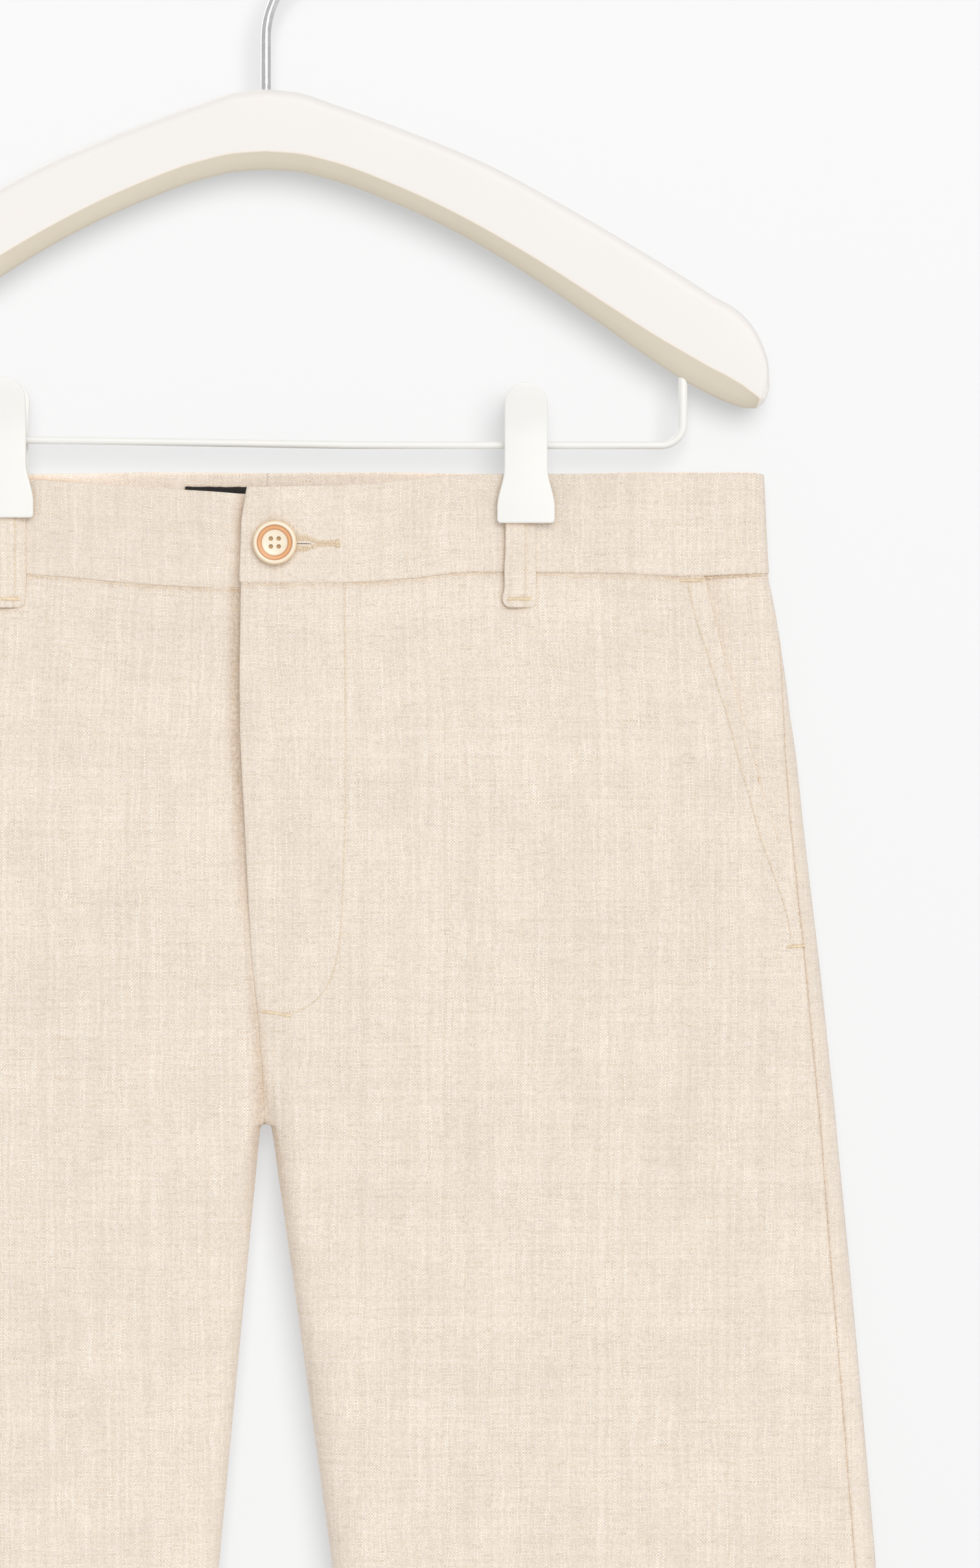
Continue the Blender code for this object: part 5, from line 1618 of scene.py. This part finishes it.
def add_back_sewing(side):
    sewing = Sewing()

    def place_of(x, below):
        return back_place(side, x, below)

    line = np.array([[side * across, SEAM_LEVEL + SEAM_STITCH_UNDER] for across in SEAM_STITCH_BACK])
    run_stitches(sewing, line, place_of, SEAM_STITCH_STEP, BACK_STITCH, seed=31)
    sew_hem(sewing, side, float(level("side", HEM_LEVEL)) - 4.0, place_of, 32)
    sewing.piece(f"thread_back_{hand(side)}")


HOLE_SPAN = (8.0, 30.6)  # x of its two ends
HOLE_BELOW = 29.1
HOLE_GAPE = 1.1  # half its opening beside the button
HOLE_CLOSES = (16.5, 5.5)  # x where it begins to close, and over what length
HOLE_ROW = (1.3, 1.0)  # height of a row of its stitches: closed, and how much more where it gapes
HOLE_STEP = 0.72
HOLE_THREAD = 0.17
HOLE_SLIT_SHADE = (12.0, 19.2)  # x of the ends of the dark line between its rows, which stands for the shade in the slit
HOLE_BAR = 1.5  # half the height of the bar across its end


def band_place(x, below):
    """A place on the waistband's left front, at a level as it hangs, and the way out."""
    top, seam = (float(follow(WAIST, "across", column, x)) for column in ("top_left", "seam_left"))
    part = (below - top) / (seam - top)
    out = float(surface_out(1, x, part * SEAM_LEVEL, "front"))
    depth = float(band_depth(1, part)(np.array(x), np.array(-1.0)))
    return np.array([x, -out, -WAIST_DROP - depth]), np.array([0.0, -1.0, 0.0])


def add_buttonhole():
    """Two rows of dense stitches along a slit that gapes by the button and closes at its end."""
    sewing = Sewing()
    rng = np.random.default_rng(41)
    begin, end = HOLE_SPAN
    for x in np.arange(begin, end, HOLE_STEP):
        open_part = 1.0 - float(ease((x - HOLE_CLOSES[0]) / HOLE_CLOSES[1]))
        height = HOLE_ROW[0] + HOLE_ROW[1] * open_part
        for way in (-1.0, 1.0):
            near = HOLE_BELOW + way * HOLE_GAPE * open_part
            far = near + way * (height + rng.uniform(-0.2, 0.2))
            lean = rng.uniform(0.1, 0.5)
            for shift, leaning in ((0.0, -lean), (HOLE_STEP / 2, lean)):
                ends = band_place(x + shift, near), band_place(x + shift + leaning, far)
                sewing.stitch(*ends, rise=0.1, sink=0.1, radius=HOLE_THREAD)
    for below in np.arange(HOLE_BELOW - HOLE_BAR, HOLE_BELOW + HOLE_BAR, 0.36):
        sewing.stitch(band_place(end - 1.6, below), band_place(end + 0.2, below), rise=0.2, sink=0.05)
    sewing.piece("thread_buttonhole")
    # A dark rod along the slit: painted shade where the slit opens.
    slit_shade = Sewing()
    points = [band_place(x, HOLE_BELOW + 0.1)[0] for x in np.linspace(*HOLE_SLIT_SHADE, 12)]
    slit_shade.add(np.array(points) + np.array([0.0, 0.02, 0.0]), 0.16)
    slit_shade.piece("buttonhole_slit_shade").data.materials[0] = LABEL


# ---- Button ----

BUTTON_PROFILE = (  # radius and height as parts of the button's radius and thickness
    (0.00, 0.50),
    (0.20, 0.50),
    (0.42, 0.53),
    (0.54, 0.60),
    (0.60, 0.70),
    (0.64, 0.74),
    (0.70, 0.74),
    (0.755, 0.76),
    (0.80, 0.90),
    (0.85, 0.985),
    (0.895, 0.985),
    (0.94, 0.92),
    (0.98, 0.78),
    (1.00, 0.60),
    (0.99, 0.42),
    (0.94, 0.24),
    (0.80, 0.10),
    (0.60, 0.02),
)
BUTTON_HOLE_OFFSET = 1.6
BUTTON_HOLE_RADIUS = 0.92
BUTTON_HOLE_FLOOR = 0.16  # height of what fills the holes, as part of the thickness
HOLE_FILL_SHADE = 2.0  # the "radial" value of what fills the holes, painted dark brown as thread in shade
BUTTON_SEGMENTS = 96
BUTTON_ROWS = 70
BUTTON_BACK = 0.9  # the "radial" value at the middle of its back
PLUG_FOOT = 0.35  # how far behind the button's back the filling of its holes begins


def button_profile():
    """Radius and height along the button's soft profile, from its middle round to its back."""
    profile = np.array(BUTTON_PROFILE)
    at = np.linspace(0, 1, BUTTON_ROWS)
    columns = [np.interp(at, np.linspace(0, 1, len(profile)), column) for column in profile.T]
    for column in columns:
        for _ in range(2):
            column[1:-1] = (column[:-2] + 2 * column[1:-1] + column[2:]) / 4
    return columns


def button_mesh():
    """Points about the button's middle, in its own plane and out of it, with "radial" and faces."""
    r, t, n = BUTTON_RADIUS, BUTTON_THICK, BUTTON_SEGMENTS
    radii, heights = button_profile()
    angles = 2 * np.pi * np.arange(n) / n
    rows = [(radius, height) for radius, height in zip(radii, heights) if radius > 0.01]
    points, radial = [(0.0, 0.0, heights[0] * t)], [0.0]
    for radius, height in rows:
        points += [(radius * r * np.cos(a), radius * r * np.sin(a), height * t) for a in angles]
        radial += [radius] * n
    points.append((0.0, 0.0, 0.0))
    radial.append(BUTTON_BACK)
    faces = []
    for k in range(n):
        after = (k + 1) % n
        faces.append((0, 1 + k, 1 + after))
        for row in range(len(rows) - 1):
            a, b = 1 + row * n, 1 + (row + 1) * n
            faces.append((a + k, b + k, b + after, a + after))
        last = 1 + (len(rows) - 1) * n
        faces.append((len(points) - 1, last + after, last + k))
    return points, np.array(radial), faces


def cut_holes(piece, centre):
    """Four holes through the button."""
    for index in range(4):
        angle = np.pi / 4 + index * np.pi / 2
        away = np.array([np.cos(angle), 0.0, np.sin(angle)]) * BUTTON_HOLE_OFFSET * np.sqrt(2)
        bpy.ops.mesh.primitive_cylinder_add(
            vertices=32, radius=BUTTON_HOLE_RADIUS * METRES, depth=5 * BUTTON_THICK * METRES,
            location=(centre + away) * METRES, rotation=(np.pi / 2, 0.0, 0.0),
        )
        cutter = bpy.context.active_object
        cut = piece.modifiers.new(f"hole_{index}", "BOOLEAN")
        cut.object = cutter
        apply_modifiers(piece)
        bpy.data.objects.remove(cutter, do_unlink=True)


def add_button():
    """A turned button with a raised rim, four holes through it, and what fills the holes."""
    out = float(surface_out(1, BUTTON_X, BUTTON_BELOW, "front")) + GAP + SLACK
    centre = np.array([BUTTON_X, -out, -WAIST_DROP - BUTTON_BELOW])
    points, radial, faces = button_mesh()
    turned = [(centre[0] + x, centre[1] - z, centre[2] + y) for x, y, z in points]
    piece = add_mesh("horn_button", turned, faces, BUTTON, 35.0, radial=radial)
    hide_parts("button")
    cut_holes(piece, centre)
    points, faces = [], []
    for dx, dz in ((-1, -1), (-1, 1), (1, -1), (1, 1)):
        foot = centre + np.array([dx * BUTTON_HOLE_OFFSET, PLUG_FOOT, dz * BUTTON_HOLE_OFFSET])
        top = foot - np.array([0.0, PLUG_FOOT + BUTTON_HOLE_FLOOR * BUTTON_THICK, 0.0])
        plug, sides = sweep(np.linspace(foot, top, 3), [BUTTON_HOLE_RADIUS - 0.02] * 3, 24)
        faces += [tuple(i + len(points) * len(plug) for i in face) for face in sides]
        points.append(plug)
    points = np.concatenate(points)
    # The filling of the holes takes the dark brown of thread in painted shade.
    hole_fill_shade = np.full(len(points), HOLE_FILL_SHADE)
    fill = add_mesh("thread_button", points, faces, BUTTON, 35.0, radial=hole_fill_shade)


def apply_modifiers(piece):
    """Bakes a piece's modifiers into its own mesh."""
    bpy.context.view_layer.update()
    state = bpy.context.evaluated_depsgraph_get()
    made = bpy.data.meshes.new_from_object(
        piece.evaluated_get(state), preserve_all_data_layers=True, depsgraph=state
    )
    piece.modifiers.clear()
    piece.data = made


# ---- Hanger ----


def round_outline(corners, radii, steps=5):
    """A closed outline with rounded corners, and each point's corner number."""
    corners = np.array(corners, float)
    points, numbers = [], []
    count = len(corners)
    for k in range(count):
        here, before, after = corners[k], corners[k - 1], corners[(k + 1) % count]
        back, ahead = before - here, after - here
        reach_back = min(radii[k], 0.45 * np.linalg.norm(back))
        reach_ahead = min(radii[k], 0.45 * np.linalg.norm(ahead))
        a = here + back / max(np.linalg.norm(back), 1e-9) * reach_back
        b = here + ahead / max(np.linalg.norm(ahead), 1e-9) * reach_ahead
        for t in np.linspace(0.0, 1.0, steps):
            points.append((1 - t) ** 2 * a + 2 * t * (1 - t) * here + t**2 * b)
            numbers.append(k + (t - 0.5) * 0.98)
    return np.array(points), np.array(numbers)


ARM_SOFT = (1.4, 2.6, 0.7, 2.0, 1.2, 1.2, 2.0, 0.7, 2.6, 1.4)
ARM_SECTIONS = 84
TIP_BULGE = 0.7
TIP_ANGLES = (20.0, 40.0, 60.0, 75.0, 85.0)
UNDER_CORNERS = (2.0, 7.0)
UNDER_ENDS = (12.1, 0.6)  # station where the painted underside ends, and over what length


def arm_section(at, side, shrink, push):
    """The arm's rounded outline at a place along its stations, with its "under" and "rim" values."""
    top_x, top_up, low_x, low_up, low_bevel = (
        float(follow(ARM, None, column, at)) for column in Station._fields
    )
    top = np.array([side * top_x, top_up])
    low = np.array([side * low_x, low_up])
    span = np.linalg.norm(top - low)
    up = (top - low) / span
    bevel = min(ARM_TOP_BEVEL, 0.3 * span)
    thick = ARM_OUT * min(1.0, 0.45 + span / 30.0)
    edge = min(ARM_EDGE_OUT, 0.5 * thick)
    corners = (
        (span, -edge),
        (span - bevel, -thick),
        (low_bevel, -thick),
        (0.35 * low_bevel, -0.62 * thick),
        (0.0, -edge),
        (0.0, edge),
        (0.35 * low_bevel, 0.62 * thick),
        (low_bevel, thick),
        (span - bevel, thick),
        (span, edge),
    )
    outline, numbers = round_outline(corners, ARM_SOFT)
    middle = outline.mean(axis=0)
    outline = middle + (outline - middle) * shrink
    points = np.empty((len(outline), 3))
    points[:, 0] = low[0] + up[0] * outline[:, 0] + side * push
    points[:, 1] = outline[:, 1]
    points[:, 2] = low[1] + up[1] * outline[:, 0] - WAIST_DROP
    under = np.clip(np.minimum(numbers - UNDER_CORNERS[0], UNDER_CORNERS[1] - numbers) + 0.5, 0.0, 1.0)
    under = under * float(1.0 - ease((at - UNDER_ENDS[0]) / UNDER_ENDS[1]))
    rim = np.clip(2.0 - np.minimum(numbers + 0.5, 9.5 - numbers), 0.0, 1.0)
    return points, np.stack([under, rim], axis=-1)


def add_hanger_body():
    last = len(ARM) - 1.0
    half = [(at, 1.0, 0.0) for at in last * np.linspace(0.0, 1.0, ARM_SECTIONS)]
    half += [(last, np.cos(a), TIP_BULGE * np.sin(a)) for a in np.radians(TIP_ANGLES)]
    sections = [arm_section(at, -1, shrink, push) for at, shrink, push in half[:0:-1]]
    sections += [arm_section(at, 1, shrink, push) for at, shrink, push in half]
    points, tints = (np.concatenate(parts) for parts in zip(*sections))
    faces = [face[::-1] for face in loft_faces(len(sections), len(sections[0][0]))]
    piece = add_mesh("painted_hanger", points, faces, PAINT, 60.0, under=tints[:, 0], rim=tints[:, 1])
    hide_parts("hanger_body")


def arc(centre, radius, begin, end, count):
    """Points in the XZ plane on an arc, with angles in degrees from +X."""
    angles = np.radians(np.linspace(begin, end, count))
    return [(centre[0] + radius * np.cos(a), 0.0, centre[1] + radius * np.sin(a)) for a in angles]


def add_rod(name, route, radii, sides, material, node):
    """A rod with rounded ends. radii holds the ends' radius, and the radius between or all of them."""
    route = np.array(route, float)
    radius, radii = radii
    caps = np.radians((10, 35, 60, 80))
    begin, end = route[0] - route[1], route[-1] - route[-2]
    begin, end = begin / np.linalg.norm(begin), end / np.linalg.norm(end)
    first = [route[0] + begin * radius * (np.sin(a) - 1.0) for a in caps[::-1]]
    final = [route[-1] + end * radius * (np.sin(a) - 1.0) for a in caps]
    shrink = [radius * np.cos(a) for a in caps]
    radii = [*shrink[::-1], *np.broadcast_to(radii, len(route))[1:-1], *shrink]
    points, faces = sweep([*first, *route[1:-1], *final], radii, sides)
    piece = add_mesh(name, points, faces, material, 60.0)
    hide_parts(node)


def add_hook():
    radius = HOOK_INNER + HOOK_ROD
    route = arc((0.0, -HOOK_INNER), radius, HOOK_TIP_ANGLE, HOOK_LEAVE_ANGLE, 90)
    leave_x, _, leave_z = route[-1]
    turn = np.radians(-HOOK_LEAVE_ANGLE)
    stem_radius = leave_x / (1.0 - np.cos(turn))
    stem_centre = (stem_radius, leave_z - stem_radius * np.sin(turn))
    route += arc(stem_centre, stem_radius, 180.0 + HOOK_LEAVE_ANGLE, 180.0, 30)[1:]
    neck = ARM[0].top_up - WAIST_DROP
    route += [(0.0, 0.0, neck + 4.0), (0.0, 0.0, neck - HOOK_SOCKET)]
    add_rod("bright_hook", route, (HOOK_ROD, HOOK_ROD), 24, BRIGHT, "hook")


def bar_height(x):
    xs, ups = zip(*BAR_UP)
    return float(np.interp(x, xs, ups))


BAR_STRAIGHT = 155.0  # half the length between its bends


def add_bar():
    right_up, left_up = bar_height(-BAR_END_X), bar_height(BAR_END_X)
    top = BAR_SOCKET_TOP - 1.5
    route = [(-BAR_END_X, 0.0, top), (-BAR_END_X, 0.0, right_up + BAR_CORNER + 6.0)]
    route += arc((-BAR_END_X + BAR_CORNER, right_up + BAR_CORNER), BAR_CORNER, 180.0, 270.0, 14)
    route += [(x, 0.0, bar_height(x)) for x in np.linspace(-BAR_STRAIGHT, BAR_STRAIGHT, 60)]
    route += arc((BAR_END_X - BAR_CORNER, left_up + BAR_CORNER), BAR_CORNER, 270.0, 360.0, 14)
    route += [(BAR_END_X, 0.0, left_up + BAR_CORNER + 6.0), (BAR_END_X, 0.0, top)]
    risen = ease(np.array([(up - bar_height(x)) / BAR_CORNER for x, _, up in route]))
    radii = BAR_ROD + (BAR_ROD_UP - BAR_ROD) * risen
    route = [(x, y, up - WAIST_DROP) for x, y, up in route]
    add_rod("coated_bar", route, (BAR_ROD_UP, radii), 20, COATING, "trouser_bar")


def jaw_half_width(up):
    """Half the width of a clip's jaw at a height over the top of the waist."""
    flare = ease((JAW_FLARE[0] - up) / (JAW_FLARE[0] - JAW_FLARE[1]))
    half = JAW_TOP_HALF + (JAW_END_HALF - JAW_TOP_HALF) * flare
    to_top = np.clip((JAW_TOP - up) / JAW_TOP_HALF, 0.0, 1.0)
    half = half * np.sqrt(1.0 - (1.0 - to_top) ** 2)
    to_end = np.clip((up - JAW_END) / JAW_CORNER, 0.0, 1.0)
    return half - JAW_CORNER * (1.0 - np.sqrt(1.0 - (1.0 - to_end) ** 2))


JAW_REST = 9.0  # how high it takes from the cloth to the sleeve
JAW_GRIP = 15.0  # where it leaves the sleeve


def jaw_inner_out(up, rest_out):
    """How far the jaw's inner face stands out: on the cloth below, on the sleeve, then a lever."""
    at_sleeve = SLEEVE_RADIUS + GAP + 0.05
    if up <= 0.0:
        return rest_out
    if up <= JAW_REST:
        return rest_out + (at_sleeve - rest_out) * float(ease(up / JAW_REST))
    if up <= JAW_GRIP:
        return at_sleeve
    return at_sleeve + (LEVER_OUT - at_sleeve) * float(ease((up - JAW_GRIP) / (JAW_TOP - 11.0)))


JAW_SOFT = 0.7
JAW_ROUND = (0.35, 0.35, 0.8, 0.8)
JAW_CORNER_UPS = (0.0, 0.05, 0.15, 0.3, 0.5, 0.75, 1.0, 1.3, 1.6)


def jaw_ups():
    """Heights of the jaw's sections, close together at its rounded ends."""
    near_end = [JAW_END + step for step in JAW_CORNER_UPS]
    to_top = 1.0 - np.cos(np.linspace(np.pi / 2, 0.012, 30))
    middle = np.linspace(JAW_END + 2.2, JAW_TOP - JAW_TOP_HALF * 1.02, 60)
    return [*near_end, *middle, *(JAW_TOP - JAW_TOP_HALF * to_top)]


def add_jaw(name, node, x, lift, sign, rest_out):
    sections = []
    for up in jaw_ups():
        half = float(jaw_half_width(up))
        to_rim = min(up - JAW_END, JAW_TOP - up)
        pull = JAW_SOFT * (1.0 - np.sqrt(1.0 - np.clip(1.0 - to_rim / JAW_SOFT, 0.0, 1.0) ** 2))
        near = jaw_inner_out(up, rest_out) + pull
        far = near + JAW_THICK - 2 * pull
        corners = ((-half, near), (half, near), (half, far), (-half, far))
        outline, _ = round_outline(corners, JAW_ROUND)
        z = np.full(len(outline), up + lift - WAIST_DROP)
        sections.append(np.stack([x + outline[:, 0], sign * outline[:, 1], z], axis=-1))
    faces = loft_faces(len(sections), len(sections[0]))
    if sign < 0:
        faces = [face[::-1] for face in faces]
    piece = add_mesh(name, np.concatenate(sections), faces, COATING, 60.0)
    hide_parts(node)


SLEEVE_SEGMENTS = 48
SLEEVE_RIM = 0.5


def add_sleeve(name, node, x, up):
    """The tube that carries the jaws and slides on the bar, with rounded rims."""
    inner = BAR_ROD + GAP
    corners = [(-SLEEVE_HALF, inner), (SLEEVE_HALF, inner)]
    corners += [(SLEEVE_HALF, SLEEVE_RADIUS), (-SLEEVE_HALF, SLEEVE_RADIUS)]
    profile, _ = round_outline(corners, (SLEEVE_RIM,) * 4)
    points, faces = [], []
    count = len(profile)
    for k in range(SLEEVE_SEGMENTS):
        a = 2 * np.pi * k / SLEEVE_SEGMENTS
        for across, radius in profile:
            points.append((x + across, radius * np.cos(a), up - WAIST_DROP + radius * np.sin(a)))
        start, after = k * count, ((k + 1) % SLEEVE_SEGMENTS) * count
        for j in range(count):
            other = (j + 1) % count
            faces.append((start + j, start + other, after + other, after + j))
    piece = add_mesh(name, points, faces, BRIGHT, 60.0)
    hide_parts(node)


def add_clip(side):
    x = side * CLIP_ACROSS
    lift = bar_height(x) - bar_height(CLIP_ACROSS)
    over_band = PINCH_OUT + GAP + SLACK
    over_loop = over_band + LOOP_CLOTH + GAP
    name = f"clip_{hand(side)}"
    add_jaw(f"{name}_front_plate", f"{name}_front", x, lift, -1, over_loop)
    add_jaw(f"{name}_back_plate", f"{name}_back", x, lift, 1, over_band)
    add_sleeve(f"{name}_tube", f"{name}_sleeve", x, bar_height(x))


# ---- Stage, light and camera ----

VIEW_X = 92.0
VIEW_BELOW = 127.2
VIEW_TALL = 641.3  # what the picture's height covers at the front of the cloth
VIEW_AWAY = 1800.0
CLOTH_FRONT = 7.0  # how far before the hanging plane the picture has its true scale
FILM = 36.0

WALL_Y = 16.2
FLOOR_Z = -1150.0
STAGE_HALF = 9000.0

WALL_GLOW = 0.494
WALL_WHITE = 0.10
WALL_SUN = 12.3
WALL_SUN_ANGLE = 48.0
WALL_SUN_FROM = Vector((0.20, -1.0, 0.20))
WORLD_SEEN = 0.935
WORLD_LIGHT = 0.66
KEY_STRENGTH = 1.30
KEY_ANGLE = 46.0
KEY_FROM = Vector((0.27, -0.85, 0.42))
FILL_FROM = Vector((-0.5, 0.8, 0.5))
FILL_STRENGTH = 0.9


def seen_only_material():
    """A pale wall that shows from its front and takes shadows, but stops and returns no light.

    Part of its brightness is its own, so that the shadows on it stay light.
    """
    g = Graph("pale_wall")
    g.nodes.clear()
    clear = g.add("ShaderNodeBsdfTransparent")
    matt = g.add("ShaderNodeBsdfDiffuse")
    matt.inputs["Color"].default_value = grey(WALL_WHITE)
    glow = g.add("ShaderNodeEmission")
    glow.inputs["Strength"].default_value = WALL_GLOW
    both = g.add("ShaderNodeAddShader")
    g.put(both.inputs[0], matt.outputs[0])
    g.put(both.inputs[1], glow.outputs[0])
    seen = g.add("ShaderNodeLightPath").outputs["Is Camera Ray"]
    from_front = g.minus(1.0, g.add("ShaderNodeNewGeometry").outputs["Backfacing"])
    shown = g.add("ShaderNodeMixShader")
    for socket, value in zip(shown.inputs, (g.times(seen, from_front), clear.outputs[0], both.outputs[0])):
        g.put(socket, value)
    g.put(g.add("ShaderNodeOutputMaterial").inputs[0], shown.outputs[0])
    return g.material


def add_plane(name, corners, material):
    mesh = bpy.data.meshes.new(name)
    mesh.from_pydata([[c * METRES for c in corner] for corner in corners], [], [(0, 1, 2, 3)])
    mesh.materials.append(material)
    plane = bpy.data.objects.new(name, mesh)
    bpy.context.scene.collection.objects.link(plane)
    return plane


def add_stage():
    far = STAGE_HALF
    corners = ((-far, FLOOR_Z), (far, FLOOR_Z), (far, far), (-far, far))
    wall = add_plane("wall", [(x, WALL_Y, z) for x, z in corners], seen_only_material())
    lamp = add_sun("wall_sun", WALL_SUN_FROM, WALL_SUN, WALL_SUN_ANGLE)
    lit = bpy.data.collections.new("wall_sun_lights")
    lit.objects.link(wall)
    lamp.light_linking.receiver_collection = lit
    g = Graph("pale_floor")
    tone = g.spread(g.noise(g.place(), 3.0, 3.0), 0.3, 0.7, 0.86, 0.89)
    floor = g.finish(g.vector(tone, tone, tone), Roughness=0.7)
    corners = ((-far, -far), (far, -far), (far, far), (-far, far))
    add_plane("floor", [(x, y, FLOOR_Z) for x, y in corners], floor)


def add_sun(name, towards, strength, angle):
    light = bpy.data.lights.new(name, "SUN")
    light.energy = strength
    light.angle = np.radians(angle)
    lamp = bpy.data.objects.new(name, light)
    lamp.rotation_mode = "QUATERNION"
    lamp.rotation_quaternion = towards.to_track_quat("Z", "Y")
    bpy.context.scene.collection.objects.link(lamp)
    return lamp


def add_light():
    world = bpy.data.worlds.new("studio")
    bpy.context.scene.world = world
    world.use_nodes = True
    nodes, links = world.node_tree.nodes, world.node_tree.links
    back = nodes["Background"]
    back.inputs["Color"].default_value = grey(1.0)
    rays = nodes.new("ShaderNodeLightPath")
    strength = nodes.new("ShaderNodeMapRange")
    strength.inputs["To Min"].default_value = WORLD_LIGHT
    strength.inputs["To Max"].default_value = WORLD_SEEN
    links.new(rays.outputs["Is Camera Ray"], strength.inputs["Value"])
    links.new(strength.outputs[0], back.inputs["Strength"])
    add_sun("key", KEY_FROM, KEY_STRENGTH, KEY_ANGLE)
    add_sun("back_fill", FILL_FROM, FILL_STRENGTH, KEY_ANGLE)


def add_camera():
    camera = bpy.data.cameras.new("camera")
    camera.sensor_width = FILM
    camera.lens = FILM * (VIEW_AWAY - CLOTH_FRONT) / VIEW_TALL
    eye = bpy.data.objects.new("camera", camera)
    eye.location = Vector((VIEW_X, -VIEW_AWAY, -WAIST_DROP - VIEW_BELOW)) * METRES
    eye.rotation_euler = (np.pi / 2, 0.0, 0.0)
    bpy.context.scene.collection.objects.link(eye)
    bpy.context.scene.camera = eye


LOOPS = (  # name, x, face and how far it stands off the waistband
    ("belt_loop_front_left", FRONT_LOOP_X, "front", 0.0),
    ("belt_loop_front_right", -FRONT_LOOP_X, "front", 0.0),
    ("belt_loop_back_left", BACK_LOOP_X, "back", LOOP_STAND),
    ("belt_loop_back_right", -BACK_LOOP_X, "back", LOOP_STAND),
    ("belt_loop_back_middle", 0.0, "back", LOOP_STAND),
)


def main():
    bpy.context.scene.view_settings.view_transform = "Standard"
    add_camera()
    add_light()
    add_stage()
    for side in (1, -1):
        add_clip(side)
        add_front(side)
        add_back(side)
        add_pocket_facing(side)
        add_waistband(side)
        add_front_sewing(side)
        add_back_sewing(side)
    add_fly_shield()
    for loop in LOOPS:
        add_belt_loop(*loop)
    add_label()
    add_button()
    add_buttonhole()
    add_hanger_body()
    add_hook()
    add_bar()


main()
